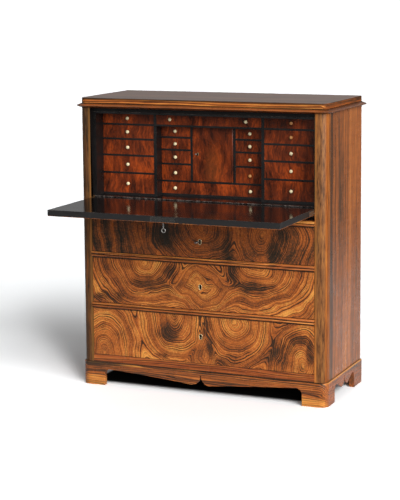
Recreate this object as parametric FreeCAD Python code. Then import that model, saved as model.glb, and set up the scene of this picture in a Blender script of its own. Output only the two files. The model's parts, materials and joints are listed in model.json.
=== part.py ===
import FreeCAD, Part
import math
import os
from FreeCAD import Vector

# Escritoire: a fall-front writing desk over three long drawers, on a scalloped plinth.
# Millimetres. +Z is up, the front looks along -Y, and the floor is z = 0.
# The origin lies under the middle of the whole desk with its fall let down.

# Case
case_width = 1040.0
case_depth = 436.0
case_height = 1170.0
corner_radius = 28.0
side_thickness = 22.0
pilaster_width = 46.0
frame_depth = 44.0
back_thickness = 12.0
back_board_count = 6
top_thickness = 22.5
top_edge_bevel = 2.0
cornice_height = 18.0
cornice_projection = 22.0
cornice_nose = 6.0
stop_rail_drop = 16.5

# Plinth
plinth_height = 96.0
plinth_projection = 6.0
plinth_thickness = 22.0
plinth_edge_bevel = 3.0
foot_width = 101.0
side_foot_width = 99.0
arch_rise = 68.0
arch_corner = 24.0
arch_bulge = 2.0
lobe_drop = 40.0
lobe_radius = 36.0
notch_half_width = 2.0
notch_hole_radius = 3.5
plinth_back_thickness = 18.0
back_arch_rise = 60.0
glue_block_size = 40.0
glue_block_floor_gap = 6.0

# Long drawers and the rails between them, from the bottom up
base_rail_height = 30.0
bottom_thickness = 18.0
rail_height = 20.0
reed_flat = 4.0
dust_thickness = 10.0
drawer_openings = (196.0, 187.5, 151.5)
drawer_names = ("drawer_3", "drawer_2", "drawer_1")
key_heights = (113.0, 96.5, 68.5)
drawer_front_thickness = 22.0
drawer_side_thickness = 12.0
drawer_back_thickness = 10.0
drawer_bottom_thickness = 8.0
drawer_bottom_lift = 8.0
drawer_side_drop = 6.0
drawer_back_room = 14.0
dovetail_pitch = 38.0
dovetail_reach = 14.0
dovetail_slope = 1.0 / 6.0
dovetail_root_share = 0.24
guide_height = 25.0
stop_height = 5.0
stop_length = 40.0
stop_width = 18.0
stop_place = 320.0

# Fall and its pivots
fall_thickness = 24.0
pivot_inset = 7.0
heel_length = 29.5
pivot_radius = 3.5
pivot_length = 8.0
pivot_plate_length = 90.0
pivot_plate_height = 16.0
pivot_plate_thickness = 3.0
socket_thickness = 10.0
socket_width = 24.0
socket_height = 40.0
socket_setback = 1.0

# Writing compartment
floor_lip = 4.0
floor_thickness = 17.0
bearer_width = 20.0
nest_side_thickness = 12.0
nest_top_thickness = 6.0
nest_back_thickness = 6.0
nest_setback = 28.0
column_setback = 90.0
recess_setback = 137.0
column_opening = 226.0
partition_thickness = 12.0
inner_opening = 127.0
inner_partition_thickness = 9.0
divider_thickness = 7.0
nest_base_thickness = 8.0
column_rows = (78.0, 64.0, 59.0, 52.0)
inner_rows = (62.0, 50.0, 43.0)
low_wide_row = 47.0

# Small drawers and their turned knobs
small_front_thickness = 10.0
small_side_thickness = 5.0
small_bottom_thickness = 4.0
small_side_drop = 3.0
small_back_room = 24.0
knob_radius = 6.5
knob_neck_radius = 3.0
knob_neck_length = 3.5
knob_flare = 3.0
knob_rim = 2.0
knob_crown = 3.0
knob_end_radius = 3.2
knob_sides = 10
wide_knob_place = 162.0

# Cupboard door
door_thickness = 12.0
door_pin_radius = 2.0
door_pin_reach = 6.0
door_key_place = 66.0

# Locks and keys
lock_width = 60.0
lock_thickness = 12.0
lock_below_key = 22.0
lock_wall = 2.0
bit_room = 9.0
bolt_width = 24.0
bolt_thickness = 6.0
bolt_length = 30.0
bolt_throw = 8.0
keyhole_radius = 2.7
keyhole_drop = 8.0
keyhole_slot_share = 0.6
key_way_room = 0.5
rim_width = 3.6
rim_thickness = 3.0
rim_proud = 0.4
fall_lock_depth = 44.0
fall_lock_shift = 10.0
fall_lock_plate_width = 100.0
fall_lock_plate_height = 18.0
fall_lock_plate_thickness = 2.0
fall_key_backset = 30.0
fall_bolt_place = 24.0
key_shank_radius = 2.2
key_outer_length = 26.0
key_bow_radius = 7.4
key_bow_wire = 2.0
key_bit_length = 7.6
key_bit_width = 5.0
key_bit_thickness = 2.4
door_lock_width = 28.0
door_lock_height = 36.0
door_lock_thickness = 9.0
door_key_scale = 0.6

# Clearances
run_gap = 0.3
drawer_side_gap = 1.5
drawer_top_gap = 1.2
small_side_gap = 0.6
small_top_gap = 0.8
fall_side_gap = 2.0
fall_end_gap = 1.5
fall_floor_gap = 0.4
fall_stop_gap = 0.4
floor_lip_gap = 2.0
nest_head_gap = 1.0
door_gap = 1.0
pin_clearance = 0.05
bolt_clearance = 0.4
strike_room = 2.0

# Levels of the front, worked out upwards from the floor
base_top = plinth_height + base_rail_height
drawer_floors = [base_top]
for opening in drawer_openings:
    drawer_floors.append(drawer_floors[-1] + opening + rail_height)
rail_top = drawer_floors.pop()
slab_bottom = case_height - top_thickness
head_bottom = slab_bottom - cornice_height
stop_bottom = head_bottom - stop_rail_drop

# The fall turns about a pin near its outer lower edge; its heel comes up under the floor's lip
pivot_z = rail_top + fall_end_gap + heel_length
fall_bottom = pivot_z - pivot_inset
fall_top = fall_bottom + fall_thickness
fall_reach = head_bottom - fall_end_gap - pivot_z - pivot_inset
front_y = (fall_reach - case_depth) / 2
back_y = front_y + case_depth
pivot_y = front_y + pivot_inset
fall_edge_y = front_y - fall_reach
heel_y = pivot_y + heel_length

# Half widths and depths of the inside
half_width = case_width / 2
side_inner = half_width - side_thickness
bay_half = half_width - pilaster_width
back_inner = back_y - back_thickness
rail_back = front_y + frame_depth
fall_half = bay_half - fall_side_gap

# Writing compartment levels
floor_under = fall_top + fall_floor_gap
floor_top = floor_under + floor_lip
nest_half = bay_half - nest_side_thickness
nest_top = stop_bottom - nest_head_gap
nest_ceiling = nest_top - nest_top_thickness
nest_floor = floor_top + nest_base_thickness
nest_back = back_inner - nest_back_thickness
column_y = front_y + column_setback
recess_y = front_y + recess_setback
partition_outer = nest_half - column_opening
partition_inner = partition_outer - partition_thickness
inner_outer = partition_inner - inner_opening
door_half = inner_outer - inner_partition_thickness
top_row_floor = nest_floor + sum(column_rows) + len(column_rows) * divider_thickness
recess_ceiling = top_row_floor - divider_thickness
low_shelf = nest_floor + low_wide_row
recess_floor = low_shelf + divider_thickness


def block(x0, x1, y0, y1, z0, z1):
    """Rectangular board between two corners."""
    return Part.makeBox(x1 - x0, y1 - y0, z1 - z0, Vector(x0, y0, z0))


def mirrored(shape):
    """The same piece on the other side of the middle plane."""
    return shape.mirror(Vector(0, 0, 0), Vector(1, 0, 0))


def pair(shape):
    """A left and a right piece, the given one being the right."""
    return [mirrored(shape), shape]


def save(node, *solids):
    """Write one named piece, or a group of like pieces, to its own file."""
    shape = solids[0] if len(solids) == 1 else Part.makeCompound(list(solids))
    shape.exportStep(os.path.join("parts", node + ".step"))


def polygon(points):
    """Closed face through points that lie in one plane."""
    return Part.Face(Part.makePolygon(list(points) + [points[0]]))


def outline(edges):
    """Closed face bounded by edges given in order."""
    return Part.Face(Part.Wire([edge.toShape() for edge in edges]))


def line(a, b):
    return Part.LineSegment(a, b)


def arc(a, through, b):
    return Part.Arc(a, through, b)


def rounded_front_plan(half, y0, y1, radius, z):
    """Plan of a board whose two front corners are quarter rounds."""
    turn = radius * (1 - math.sqrt(0.5))
    left, right = -half, half
    return outline([
        line(Vector(left + radius, y0, z), Vector(right - radius, y0, z)),
        arc(Vector(right - radius, y0, z), Vector(right - turn, y0 + turn, z), Vector(right, y0 + radius, z)),
        line(Vector(right, y0 + radius, z), Vector(right, y1, z)),
        line(Vector(right, y1, z), Vector(left, y1, z)),
        line(Vector(left, y1, z), Vector(left, y0 + radius, z)),
        arc(Vector(left, y0 + radius, z), Vector(left + turn, y0 + turn, z), Vector(left + radius, y0, z)),
    ])


def edges_at_height(shape, z, back):
    """Horizontal edges at one height, without the one along the back."""
    found = []
    for edge in shape.Edges:
        box = edge.BoundBox
        level = abs(box.ZMin - z) < 0.01 and abs(box.ZMax - z) < 0.01
        if level and box.YMin < back - 1.0:
            found.append(edge)
    return found


def keyhole(radius, low_radius, drop, y0, y1, x, z):
    """Keyhole outline, a round over a narrower round, as a prism along Y."""
    lean = math.asin((radius - low_radius) / drop)
    side = Vector(math.cos(lean), 0, -math.sin(lean))
    high = Vector(x, y0, z)
    low = Vector(x, y0, z - drop)
    flip = Vector(-side.x, 0, side.z)
    face = outline([
        arc(high + side * radius, high + Vector(0, 0, radius), high + flip * radius),
        line(high + flip * radius, low + flip * low_radius),
        arc(low + flip * low_radius, low + Vector(0, 0, -low_radius), low + side * low_radius),
        line(low + side * low_radius, high + side * radius),
    ])
    return face.extrude(Vector(0, y1 - y0, 0))


def keyhole_cut(y0, y1, x, z, scale=1.0):
    """The hole in a rim that a key goes through."""
    slot = keyhole_radius * keyhole_slot_share * scale
    return keyhole(keyhole_radius * scale, slot, keyhole_drop * scale, y0, y1, x, z)


def key_way(y0, y1, x, z, scale=1.0):
    """Square-cut way for the key through the wood and the lock case behind a rim."""
    half = (keyhole_radius + key_way_room) * scale
    return block(x - half, x + half, y0, y1, z - (keyhole_drop + key_way_room) * scale, z + half)


def bit_space(y0, y1, x, z, scale=1.0):
    """Space inside a lock case where the key's bit turns."""
    half = bit_room * scale
    return block(x - half, x + half, y0, y1, z - half, z + half)


def keyhole_rim(face_y, x, z, scale=1.0):
    """Brass rim let into a front round its keyhole, a little proud of the wood."""
    width = rim_width * scale
    outer = keyhole(keyhole_radius * scale + width, keyhole_radius * keyhole_slot_share * scale + width,
                    keyhole_drop * scale, face_y - rim_proud, face_y - rim_proud + rim_thickness, x, z)
    return outer, outer.cut(keyhole_cut(face_y - 1.0, face_y + rim_thickness, x, z, scale))


def key(inner_length, scale=1.0):
    """Key along -Y from the wood's face at the origin, with its bow flat in the XY plane."""
    shank_radius = key_shank_radius * scale
    outer_length = key_outer_length * scale
    bow_ring = key_bow_radius * scale
    bow_centre = outer_length + bow_ring
    along = Vector(0, -1, 0)
    shank = Part.makeCylinder(shank_radius, inner_length + outer_length, Vector(0, inner_length, 0), along)
    wire = key_bow_wire * scale
    bow_base = Vector(0, -bow_centre, -wire)
    bow = Part.makeCylinder(bow_ring + wire, 2 * wire, bow_base)
    bow = bow.cut(Part.makeCylinder(bow_ring - wire, 2 * wire, bow_base))
    bit_half = key_bit_thickness * scale / 2
    bit_end = inner_length - 1.0
    bit = block(0, key_bit_length * scale, bit_end - key_bit_width * scale, bit_end, -bit_half, bit_half)
    return shank.fuse([bow, bit]).removeSplitter()


def dovetails(x0, x1, root_y, z0, z1):
    """Tails along a board's end, wider at their tips, reaching forward from the root line."""
    count = max(2, round((z1 - z0) / dovetail_pitch))
    pitch = (z1 - z0) / count
    root = pitch * dovetail_root_share
    tip = root + dovetail_reach * dovetail_slope
    tip_y = root_y - dovetail_reach
    tails = []
    for number in range(count):
        middle = z0 + pitch * (number + 0.5)
        face = polygon([
            Vector(x0, root_y, middle - root),
            Vector(x0, tip_y, middle - tip),
            Vector(x0, tip_y, middle + tip),
            Vector(x0, root_y, middle + root),
        ])
        tails.append(face.extrude(Vector(x1 - x0, 0, 0)))
    return tails


def build_case():
    """Sides, rounded corner posts, top with its beak moulding, head rails and back."""
    side = block(side_inner, half_width, front_y + frame_depth, back_y, plinth_height, slab_bottom)
    left, right = pair(side)
    save("left_side", left)
    save("right_side", right)

    post = block(bay_half, half_width, front_y, front_y + frame_depth, plinth_height, slab_bottom)
    corner = [e for e in post.Edges if abs(e.BoundBox.XMin - half_width) < 0.01
              and abs(e.BoundBox.YMax - front_y) < 0.01]
    post = post.makeFillet(corner_radius, corner).cut(socket_block())
    left, right = pair(post)
    save("left_pilaster", left)
    save("right_pilaster", right)

    slab = rounded_front_plan(half_width, front_y, back_y, corner_radius, slab_bottom)
    slab = slab.extrude(Vector(0, 0, top_thickness))
    slab = slab.makeChamfer(top_edge_bevel, edges_at_height(slab, case_height, back_y))
    save("top_board", slab)
    save("cornice_moulding", *cornice())

    head = block(-bay_half, bay_half, front_y, rail_back, head_bottom, slab_bottom)
    stop = block(-bay_half, bay_half, front_y + fall_thickness + fall_stop_gap, rail_back,
                 stop_bottom, head_bottom)
    save("head_rails", head.cut(fall_strike()), stop)

    board = 2 * side_inner / back_board_count
    boards = [block(-side_inner + n * board, -side_inner + (n + 1) * board, back_inner, back_y,
                    plinth_height, slab_bottom) for n in range(back_board_count)]
    save("back_boards", *boards)


def beak_profile(x, y, outward):
    """Beak section: two sloping flanks that meet a narrow nose."""
    middle = (head_bottom + slab_bottom) / 2
    reach = outward * cornice_projection
    return polygon([
        Vector(x, y, head_bottom),
        Vector(x, y, slab_bottom),
        Vector(x, y, middle + cornice_nose / 2) + reach,
        Vector(x, y, middle - cornice_nose / 2) + reach,
    ])


def cornice():
    """Beak moulding in five lengths: front, two turned corners and two returns."""
    turn_x = half_width - corner_radius
    turn_y = front_y + corner_radius
    forward = Vector(0, -1, 0)
    front = beak_profile(-turn_x, front_y, forward).extrude(Vector(2 * turn_x, 0, 0))
    corner = beak_profile(turn_x, front_y, forward).revolve(Vector(turn_x, turn_y, 0), Vector(0, 0, 1), 90)
    flank = beak_profile(half_width, turn_y, Vector(1, 0, 0)).extrude(Vector(0, back_y - turn_y, 0))
    return [front] + pair(corner) + pair(flank)


def apron_cut(half_span, rise):
    """Space under an apron: rounded corners at the feet, two lobes and a notch between them."""
    lobe = notch_half_width + lobe_radius
    notch_z = lobe_drop + lobe_radius
    start = -half_span + arch_corner
    turn = arch_corner * (1 - math.sqrt(0.5))
    bend = lobe_radius * math.sqrt(0.5)
    middle = Vector((start - lobe) / 2, 0, (rise + lobe_drop) / 2 + arch_bulge)

    def half(sign):
        def at(x, z):
            return Vector(sign * x, 0, z)
        return [
            line(at(-half_span, -1), at(-half_span, rise - arch_corner)),
            arc(at(-half_span, rise - arch_corner), at(-half_span + turn, rise - turn), at(start, rise)),
            arc(at(start, rise), at(middle.x, middle.z), at(-lobe, lobe_drop)),
            arc(at(-lobe, lobe_drop), at(-lobe + bend, notch_z - bend), at(-notch_half_width, notch_z)),
            line(at(-notch_half_width, notch_z), at(0, notch_z)),
        ]

    face = outline(half(1) + half(-1)[::-1] + [line(Vector(half_span, 0, -1), Vector(-half_span, 0, -1))])
    through = 3 * plinth_thickness
    cut = face.extrude(Vector(0, through, 0))
    hole = Part.makeCylinder(notch_hole_radius, through, Vector(0, 0, notch_z), Vector(0, 1, 0))
    cut = cut.fuse(hole)
    cut.translate(Vector(0, -through / 2, 0))
    return cut


def build_plinth():
    """Scalloped plinth boards mitred at the front corners, with a plain back and glue blocks."""
    outer = half_width + plinth_projection
    inner = outer - plinth_thickness
    face_y = front_y - plinth_projection
    inside_y = face_y + plinth_thickness
    plan = rounded_front_plan(outer, face_y, back_y, corner_radius + plinth_projection, 0)
    frame = plan.extrude(Vector(0, 0, plinth_height))
    frame = frame.makeChamfer(plinth_edge_bevel, edges_at_height(frame, plinth_height, back_y))
    frame = frame.cut(block(-inner, inner, inside_y, back_y + 1, -1, plinth_height + 1))

    mitre = 3 * plinth_thickness
    wedge = polygon([
        Vector(-outer, face_y, 0), Vector(outer, face_y, 0),
        Vector(outer - mitre, face_y + mitre, 0), Vector(-outer + mitre, face_y + mitre, 0),
    ]).extrude(Vector(0, 0, plinth_height))
    front_cut = apron_cut(outer - foot_width, arch_rise)
    front_cut.translate(Vector(0, face_y + plinth_thickness / 2, 0))
    save("plinth_front", frame.common(wedge).cut(front_cut))

    side_span = (back_y - face_y) / 2 - side_foot_width
    side_cut = apron_cut(side_span, arch_rise)
    side_cut.rotate(Vector(0, 0, 0), Vector(0, 0, 1), 90)
    side_cut.translate(Vector(outer - plinth_thickness / 2, (face_y + back_y) / 2, 0))
    right_half = block(0, outer + 1, face_y - 1, back_y + 1, -1, plinth_height + 1)
    side = frame.cut(wedge).common(right_half).cut(side_cut)
    left, right = pair(side)
    save("plinth_left", left)
    save("plinth_right", right)

    back_face = back_y - plinth_back_thickness
    back_span = outer - foot_width
    back = block(-inner, inner, back_face, back_y, 0, plinth_height)
    save("plinth_back", back.cut(block(-back_span, back_span, back_face - 1, back_y + 1, -1, back_arch_rise)))

    front_block = block(inner - glue_block_size, inner, inside_y, inside_y + glue_block_size,
                        glue_block_floor_gap, plinth_height)
    back_block = block(inner - glue_block_size, inner, back_face - glue_block_size, back_face,
                       glue_block_floor_gap, plinth_height)
    save("corner_blocks", *(pair(front_block) + pair(back_block)))


def reeded_moulding(z0):
    """Two half-round reeds along the front of a rail."""
    reed = rail_height / 4
    flat = front_y - reed_flat
    nose = flat - reed
    x = -bay_half

    def at(y, z):
        return Vector(x, y, z0 + z)

    face = outline([
        line(at(front_y, 0), at(flat, 0)),
        arc(at(flat, 0), at(nose, reed), at(flat, 2 * reed)),
        arc(at(flat, 2 * reed), at(nose, 3 * reed), at(flat, rail_height)),
        line(at(flat, rail_height), at(front_y, rail_height)),
        line(at(front_y, rail_height), at(front_y, 0)),
    ])
    return face.extrude(Vector(2 * bay_half, 0, 0))


def build_drawer_frame():
    """Rails with their mouldings, dust boards, bottom, guides and stops."""
    base = block(-bay_half, bay_half, front_y, rail_back, plinth_height, base_top)
    rails = [base]
    dust = []
    for floor, opening in zip(drawer_floors, drawer_openings):
        under = floor + opening
        rail = block(-bay_half, bay_half, front_y, rail_back, under, under + rail_height)
        rails += [rail.cut(drawer_strike(under)), reeded_moulding(under)]
        top = under + dust_thickness if under + rail_height == rail_top else under + rail_height
        dust.append(block(-side_inner, side_inner, rail_back, back_inner, top - dust_thickness, top))
    save("drawer_rails", *rails)
    save("dust_boards", *dust)
    save("bottom_board", block(-side_inner, side_inner, rail_back, back_inner,
                               base_top - bottom_thickness, base_top))

    strips = []
    for floor in drawer_floors:
        guide = block(bay_half, side_inner, front_y + frame_depth, back_inner, floor, floor + guide_height)
        stop_y = front_y + drawer_front_thickness + run_gap
        stop = block(stop_place - stop_length / 2, stop_place + stop_length / 2, stop_y, stop_y + stop_width,
                     floor, floor + stop_height)
        strips += pair(guide) + pair(stop)
    save("drawer_guides", *strips)


def drawer_bolt(top_z):
    """Bolt of a drawer lock, drawn back flush with the top of the front."""
    lock_y = front_y + drawer_front_thickness - lock_thickness / 2
    return block(-bolt_width / 2, bolt_width / 2, lock_y - bolt_thickness / 2, lock_y + bolt_thickness / 2,
                 top_z - bolt_length, top_z)


def grown(shape, gap):
    """Box that clears a rectangular piece by a gap all round."""
    box = shape.BoundBox
    box.enlarge(gap)
    return block(box.XMin, box.XMax, box.YMin, box.YMax, box.ZMin, box.ZMax)


def drawer_strike(under):
    """Mortise in the rail above a drawer, for the thrown bolt."""
    bolt = drawer_bolt(under + bolt_throw + strike_room)
    return grown(bolt, 2 * bolt_clearance)


def drawer_lock(top_z, key_z):
    """Lock case let into the back of a drawer front, with room for bolt and key bit."""
    inner = front_y + drawer_front_thickness
    outer = inner - lock_thickness
    case = block(-lock_width / 2, lock_width / 2, outer, inner, key_z - lock_below_key, top_z)
    room = bit_space(outer + lock_wall, inner - lock_wall, 0, key_z)
    way = key_way(outer - 1, outer + lock_wall + 1, 0, key_z)
    bolt = drawer_bolt(top_z)
    return case, case.cut([room, way, grown(bolt, bolt_clearance)]), bolt


def build_drawer(name, floor, opening, key_rise):
    """Long drawer: dovetailed box, veneered front, lock and keyhole rim."""
    z0 = floor + run_gap
    z1 = floor + opening - drawer_top_gap
    half = bay_half - drawer_side_gap
    front_back = front_y + drawer_front_thickness
    box_back = back_inner - drawer_back_room
    side_top = z1 - drawer_side_drop
    side_in = half - drawer_side_thickness
    tails = dovetails(side_in, half, front_back, z0, side_top)
    side = block(side_in, half, front_back, box_back, z0, side_top).fuse(tails).removeSplitter()
    sockets = [tail for one in tails for tail in pair(one)]

    key_z = floor + key_rise
    case, lock, bolt = drawer_lock(z1, key_z)
    seat, rim = keyhole_rim(front_y, 0, key_z)
    way = key_way(front_y - 1, front_back, 0, key_z)
    front = block(-half, half, front_y, front_back, z0, z1).cut(sockets + [case, seat, way])
    save(name + "_front", front)

    bottom_z = z0 + drawer_bottom_lift
    bottom = block(-side_in, side_in, front_back, box_back, bottom_z, bottom_z + drawer_bottom_thickness)
    back = block(-side_in, side_in, box_back - drawer_back_thickness, box_back,
                 bottom_z + drawer_bottom_thickness, side_top)
    save(name + "_box", *(pair(side) + [bottom, back]))
    if name == "drawer_1":
        save(name + "_lock", lock, rim)
        save(name + "_bolt", bolt)
        turned = key(drawer_front_thickness - lock_wall - 1)
        turned.translate(Vector(0, front_y, key_z))
        save(name + "_key", turned)
    else:
        save(name + "_lock", lock, rim, bolt)


def socket_block():
    """Space in the right post for the plate that the fall's pin turns in."""
    return block(bay_half, bay_half + socket_thickness, front_y + socket_setback,
                 front_y + socket_setback + socket_width, pivot_z - socket_height / 2,
                 pivot_z + socket_height / 2)


def fall_strike():
    """Mortise in the head rail for the fall's bolt, where it stands when the fall is shut."""
    near = front_y + pivot_inset + fall_lock_z() - pivot_z
    half_x = bolt_width / 2 + 2 * bolt_clearance
    half_y = bolt_thickness / 2 + 2 * bolt_clearance
    middle = fall_bolt_place
    return block(middle - half_x, middle + half_x, near - half_y, near + half_y,
                 head_bottom - 1, head_bottom + bolt_throw + strike_room)


def fall_lock_z():
    """Height of the middle of the fall's lock, half way through the board."""
    return fall_bottom + fall_thickness / 2


def build_fall():
    """Fall board with its end pivots, mortised lock, bolt and hanging key."""
    board = block(-fall_half, fall_half, fall_edge_y, heel_y, fall_bottom, fall_top)
    plate_x = fall_half - pivot_plate_thickness
    plate_z = fall_bottom + (fall_thickness - pivot_plate_height) / 2 - 1
    plate = block(plate_x, fall_half, heel_y - pivot_plate_length, heel_y,
                  plate_z, plate_z + pivot_plate_height)
    pin = Part.makeCylinder(pivot_radius, fall_side_gap + pivot_length, Vector(fall_half, pivot_y, pivot_z),
                            Vector(1, 0, 0))
    plates = pair(plate)
    save("fall_pivots", *pair(plate.fuse(pin).removeSplitter()))

    socket = socket_block()
    hole = Part.makeCylinder(pivot_radius + pin_clearance, socket_thickness + 2,
                             Vector(bay_half - 1, pivot_y, pivot_z), Vector(1, 0, 0))
    save("pivot_fittings", *(pair(socket.cut(hole)) + door_pins()))

    lock_z = fall_lock_z()
    left = fall_lock_shift - lock_width / 2
    case_low = lock_z - lock_thickness / 2
    case = block(left, left + lock_width, fall_edge_y + fall_lock_plate_thickness,
                 fall_edge_y + fall_lock_depth, case_low, case_low + lock_thickness)
    plate_left = fall_lock_shift - fall_lock_plate_width / 2
    face_plate = block(plate_left, plate_left + fall_lock_plate_width, fall_edge_y,
                       fall_edge_y + fall_lock_plate_thickness, lock_z - fall_lock_plate_height / 2,
                       lock_z + fall_lock_plate_height / 2)
    body = case.fuse(face_plate).removeSplitter()
    bolt = block(fall_bolt_place - bolt_width / 2, fall_bolt_place + bolt_width / 2, fall_edge_y,
                 fall_edge_y + bolt_length, lock_z - bolt_thickness / 2, lock_z + bolt_thickness / 2)
    key_y = fall_edge_y + fall_key_backset

    def hung(shape):
        shape.rotate(Vector(0, 0, 0), Vector(1, 0, 0), 90)
        shape.translate(Vector(0, key_y, fall_bottom))
        return shape

    case_rise = case_low - fall_bottom
    way = hung(key_way(-1, case_rise + lock_wall + 1, 0, 0))
    room = hung(bit_space(case_rise + lock_wall, case_rise + lock_thickness - lock_wall, 0, 0))
    seat, rim = (hung(shape) for shape in keyhole_rim(0, 0, 0))
    lock = body.cut([room, way, grown(bolt, bolt_clearance)])
    save("fall_board", board.cut(plates + [body, seat, way]))
    save("fall_lock", lock, rim)
    save("fall_bolt", bolt)
    hung_key = hung(key(case_rise + lock_thickness - lock_wall - 1))
    save("fall_key", hung_key)


def build_compartment():
    """Floor with its lip over the fall's heel, and the nest that stands on it."""
    floor = block(-bay_half, bay_half, rail_back, back_inner, floor_top - floor_thickness, floor_top)
    lip_y = front_y + fall_thickness + floor_lip_gap
    lip = block(-bay_half, bay_half, lip_y, rail_back, floor_under, floor_top)
    bearer_base = rail_top - rail_height + dust_thickness
    bearers = [block(-bay_half, bay_half, y, y + bearer_width, bearer_base, floor_top - floor_thickness)
               for y in (rail_back, back_inner - bearer_width)]
    save("desk_floor", floor.fuse(lip).removeSplitter(), *bearers)

    wall = block(nest_half, bay_half, front_y + nest_setback, back_inner, floor_top, nest_top)
    ceiling = block(-nest_half, nest_half, front_y + nest_setback, back_inner, nest_ceiling, nest_top)
    back = block(-nest_half, nest_half, nest_back, back_inner, floor_top, nest_ceiling)
    save("nest_shell", *(pair(wall) + [ceiling, back]))

    partition = block(partition_inner, partition_outer, column_y, nest_back, floor_top, nest_ceiling)
    boards = pair(partition)
    base = block(partition_outer, nest_half, column_y, nest_back, floor_top, nest_floor)
    boards += pair(base)
    boards.append(block(-partition_inner, partition_inner, recess_y, nest_back, floor_top, nest_floor))
    for z in row_floors(nest_floor, column_rows)[1:]:
        boards += pair(block(partition_outer, nest_half, column_y, nest_back, z - divider_thickness, z))
    pins = [grown_pin(pin) for pin in door_pins()]
    low = block(-partition_inner, partition_inner, recess_y, nest_back, low_shelf, recess_floor)
    high = block(-partition_inner, partition_inner, column_y, nest_back, recess_ceiling, top_row_floor)
    boards += [low.cut(pins), high.cut(pins)]
    boards += pair(block(door_half, inner_outer, recess_y, nest_back, recess_floor, recess_ceiling))
    for z in row_floors(recess_floor, inner_rows)[1:]:
        boards += pair(block(inner_outer, partition_inner, recess_y, nest_back, z - divider_thickness, z))
    save("nest_dividers", *boards)


def row_floors(start, rows):
    """Floors of a column of openings, the last one being above the last divider."""
    floors = [start]
    for row in rows:
        floors.append(floors[-1] + row + divider_thickness)
    return floors


def knob(x, face_y, z):
    """Turned knob in flats: neck, flare, rim and bevelled crown, on the front of a small drawer."""
    lengths = (0, knob_neck_length, knob_flare, knob_rim, knob_crown)
    radii = (knob_neck_radius, knob_neck_radius, knob_radius, knob_radius, knob_end_radius)
    angles = [2 * math.pi * n / knob_sides for n in range(knob_sides + 1)]
    rings = []
    y = face_y
    for length, radius in zip(lengths, radii):
        y -= length
        rings.append(Part.makePolygon([
            Vector(x + radius * math.cos(angle), y, z + radius * math.sin(angle)) for angle in angles]))
    return Part.makeLoft(rings, True, True)


def small_drawer(name, x0, x1, z0, z1, face_y, knobs):
    """Small drawer of thin boards with one or two knobs."""
    left, right = x0 + small_side_gap, x1 - small_side_gap
    low, high = z0 + run_gap, z1 - small_top_gap
    inside = face_y + small_front_thickness
    end = nest_back - small_back_room
    side_top = high - small_side_drop
    wall = small_side_thickness
    boards = [
        block(left, right, face_y, inside, low, high),
        block(left, left + wall, inside, end, low, side_top),
        block(right - wall, right, inside, end, low, side_top),
        block(left + wall, right - wall, inside, end, low, low + small_bottom_thickness),
        block(left + wall, right - wall, end - wall, end, low + small_bottom_thickness, side_top),
    ]
    middle = (low + high) / 2
    boards += [knob(x, face_y, middle) for x in knobs]
    save(name, *boards)


def build_small_drawers():
    """Two columns of five, two inner columns of four, and a wide drawer above and below."""
    columns = row_floors(nest_floor, column_rows)
    columns.append(nest_ceiling + divider_thickness)
    for number, (z0, z1) in enumerate(zip(columns[::-1][1:], columns[::-1])):
        label = str(number + 1)
        middle = (partition_outer + nest_half) / 2
        top = z1 - divider_thickness
        small_drawer("left_drawer_" + label, -nest_half, -partition_outer, z0, top, column_y, [-middle])
        small_drawer("right_drawer_" + label, partition_outer, nest_half, z0, top, column_y, [middle])

    inner = row_floors(recess_floor, inner_rows)
    inner.append(recess_ceiling + divider_thickness)
    for number, (z0, z1) in enumerate(zip(inner[::-1][1:], inner[::-1])):
        label = str(number + 1)
        middle = (inner_outer + partition_inner) / 2
        top = z1 - divider_thickness
        small_drawer("inner_left_drawer_" + label, -partition_inner, -inner_outer, z0, top,
                     recess_y, [-middle])
        small_drawer("inner_right_drawer_" + label, inner_outer, partition_inner, z0, top,
                     recess_y, [middle])

    knobs = [-wide_knob_place, wide_knob_place]
    small_drawer("centre_top_drawer", -partition_inner, partition_inner, top_row_floor, nest_ceiling,
                 column_y, knobs)
    small_drawer("centre_bottom_drawer", -partition_inner, partition_inner, nest_floor, low_shelf,
                 recess_y, knobs)


def door_pins():
    """Two fixed pins, in the shelves below and above the cupboard, that its door turns on."""
    x = door_half - door_gap - door_thickness / 2
    y = recess_y + door_thickness / 2
    length = 2 * door_pin_reach
    return [Part.makeCylinder(door_pin_radius, length, Vector(x, y, z - door_pin_reach))
            for z in (recess_floor, recess_ceiling)]


def grown_pin(pin):
    """Bore for a pin, with its running clearance and a little room at both ends."""
    box = pin.BoundBox
    return Part.makeCylinder(door_pin_radius + pin_clearance, box.ZLength + 2,
                             Vector(box.Center.x, box.Center.y, box.ZMin - 1))


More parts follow.
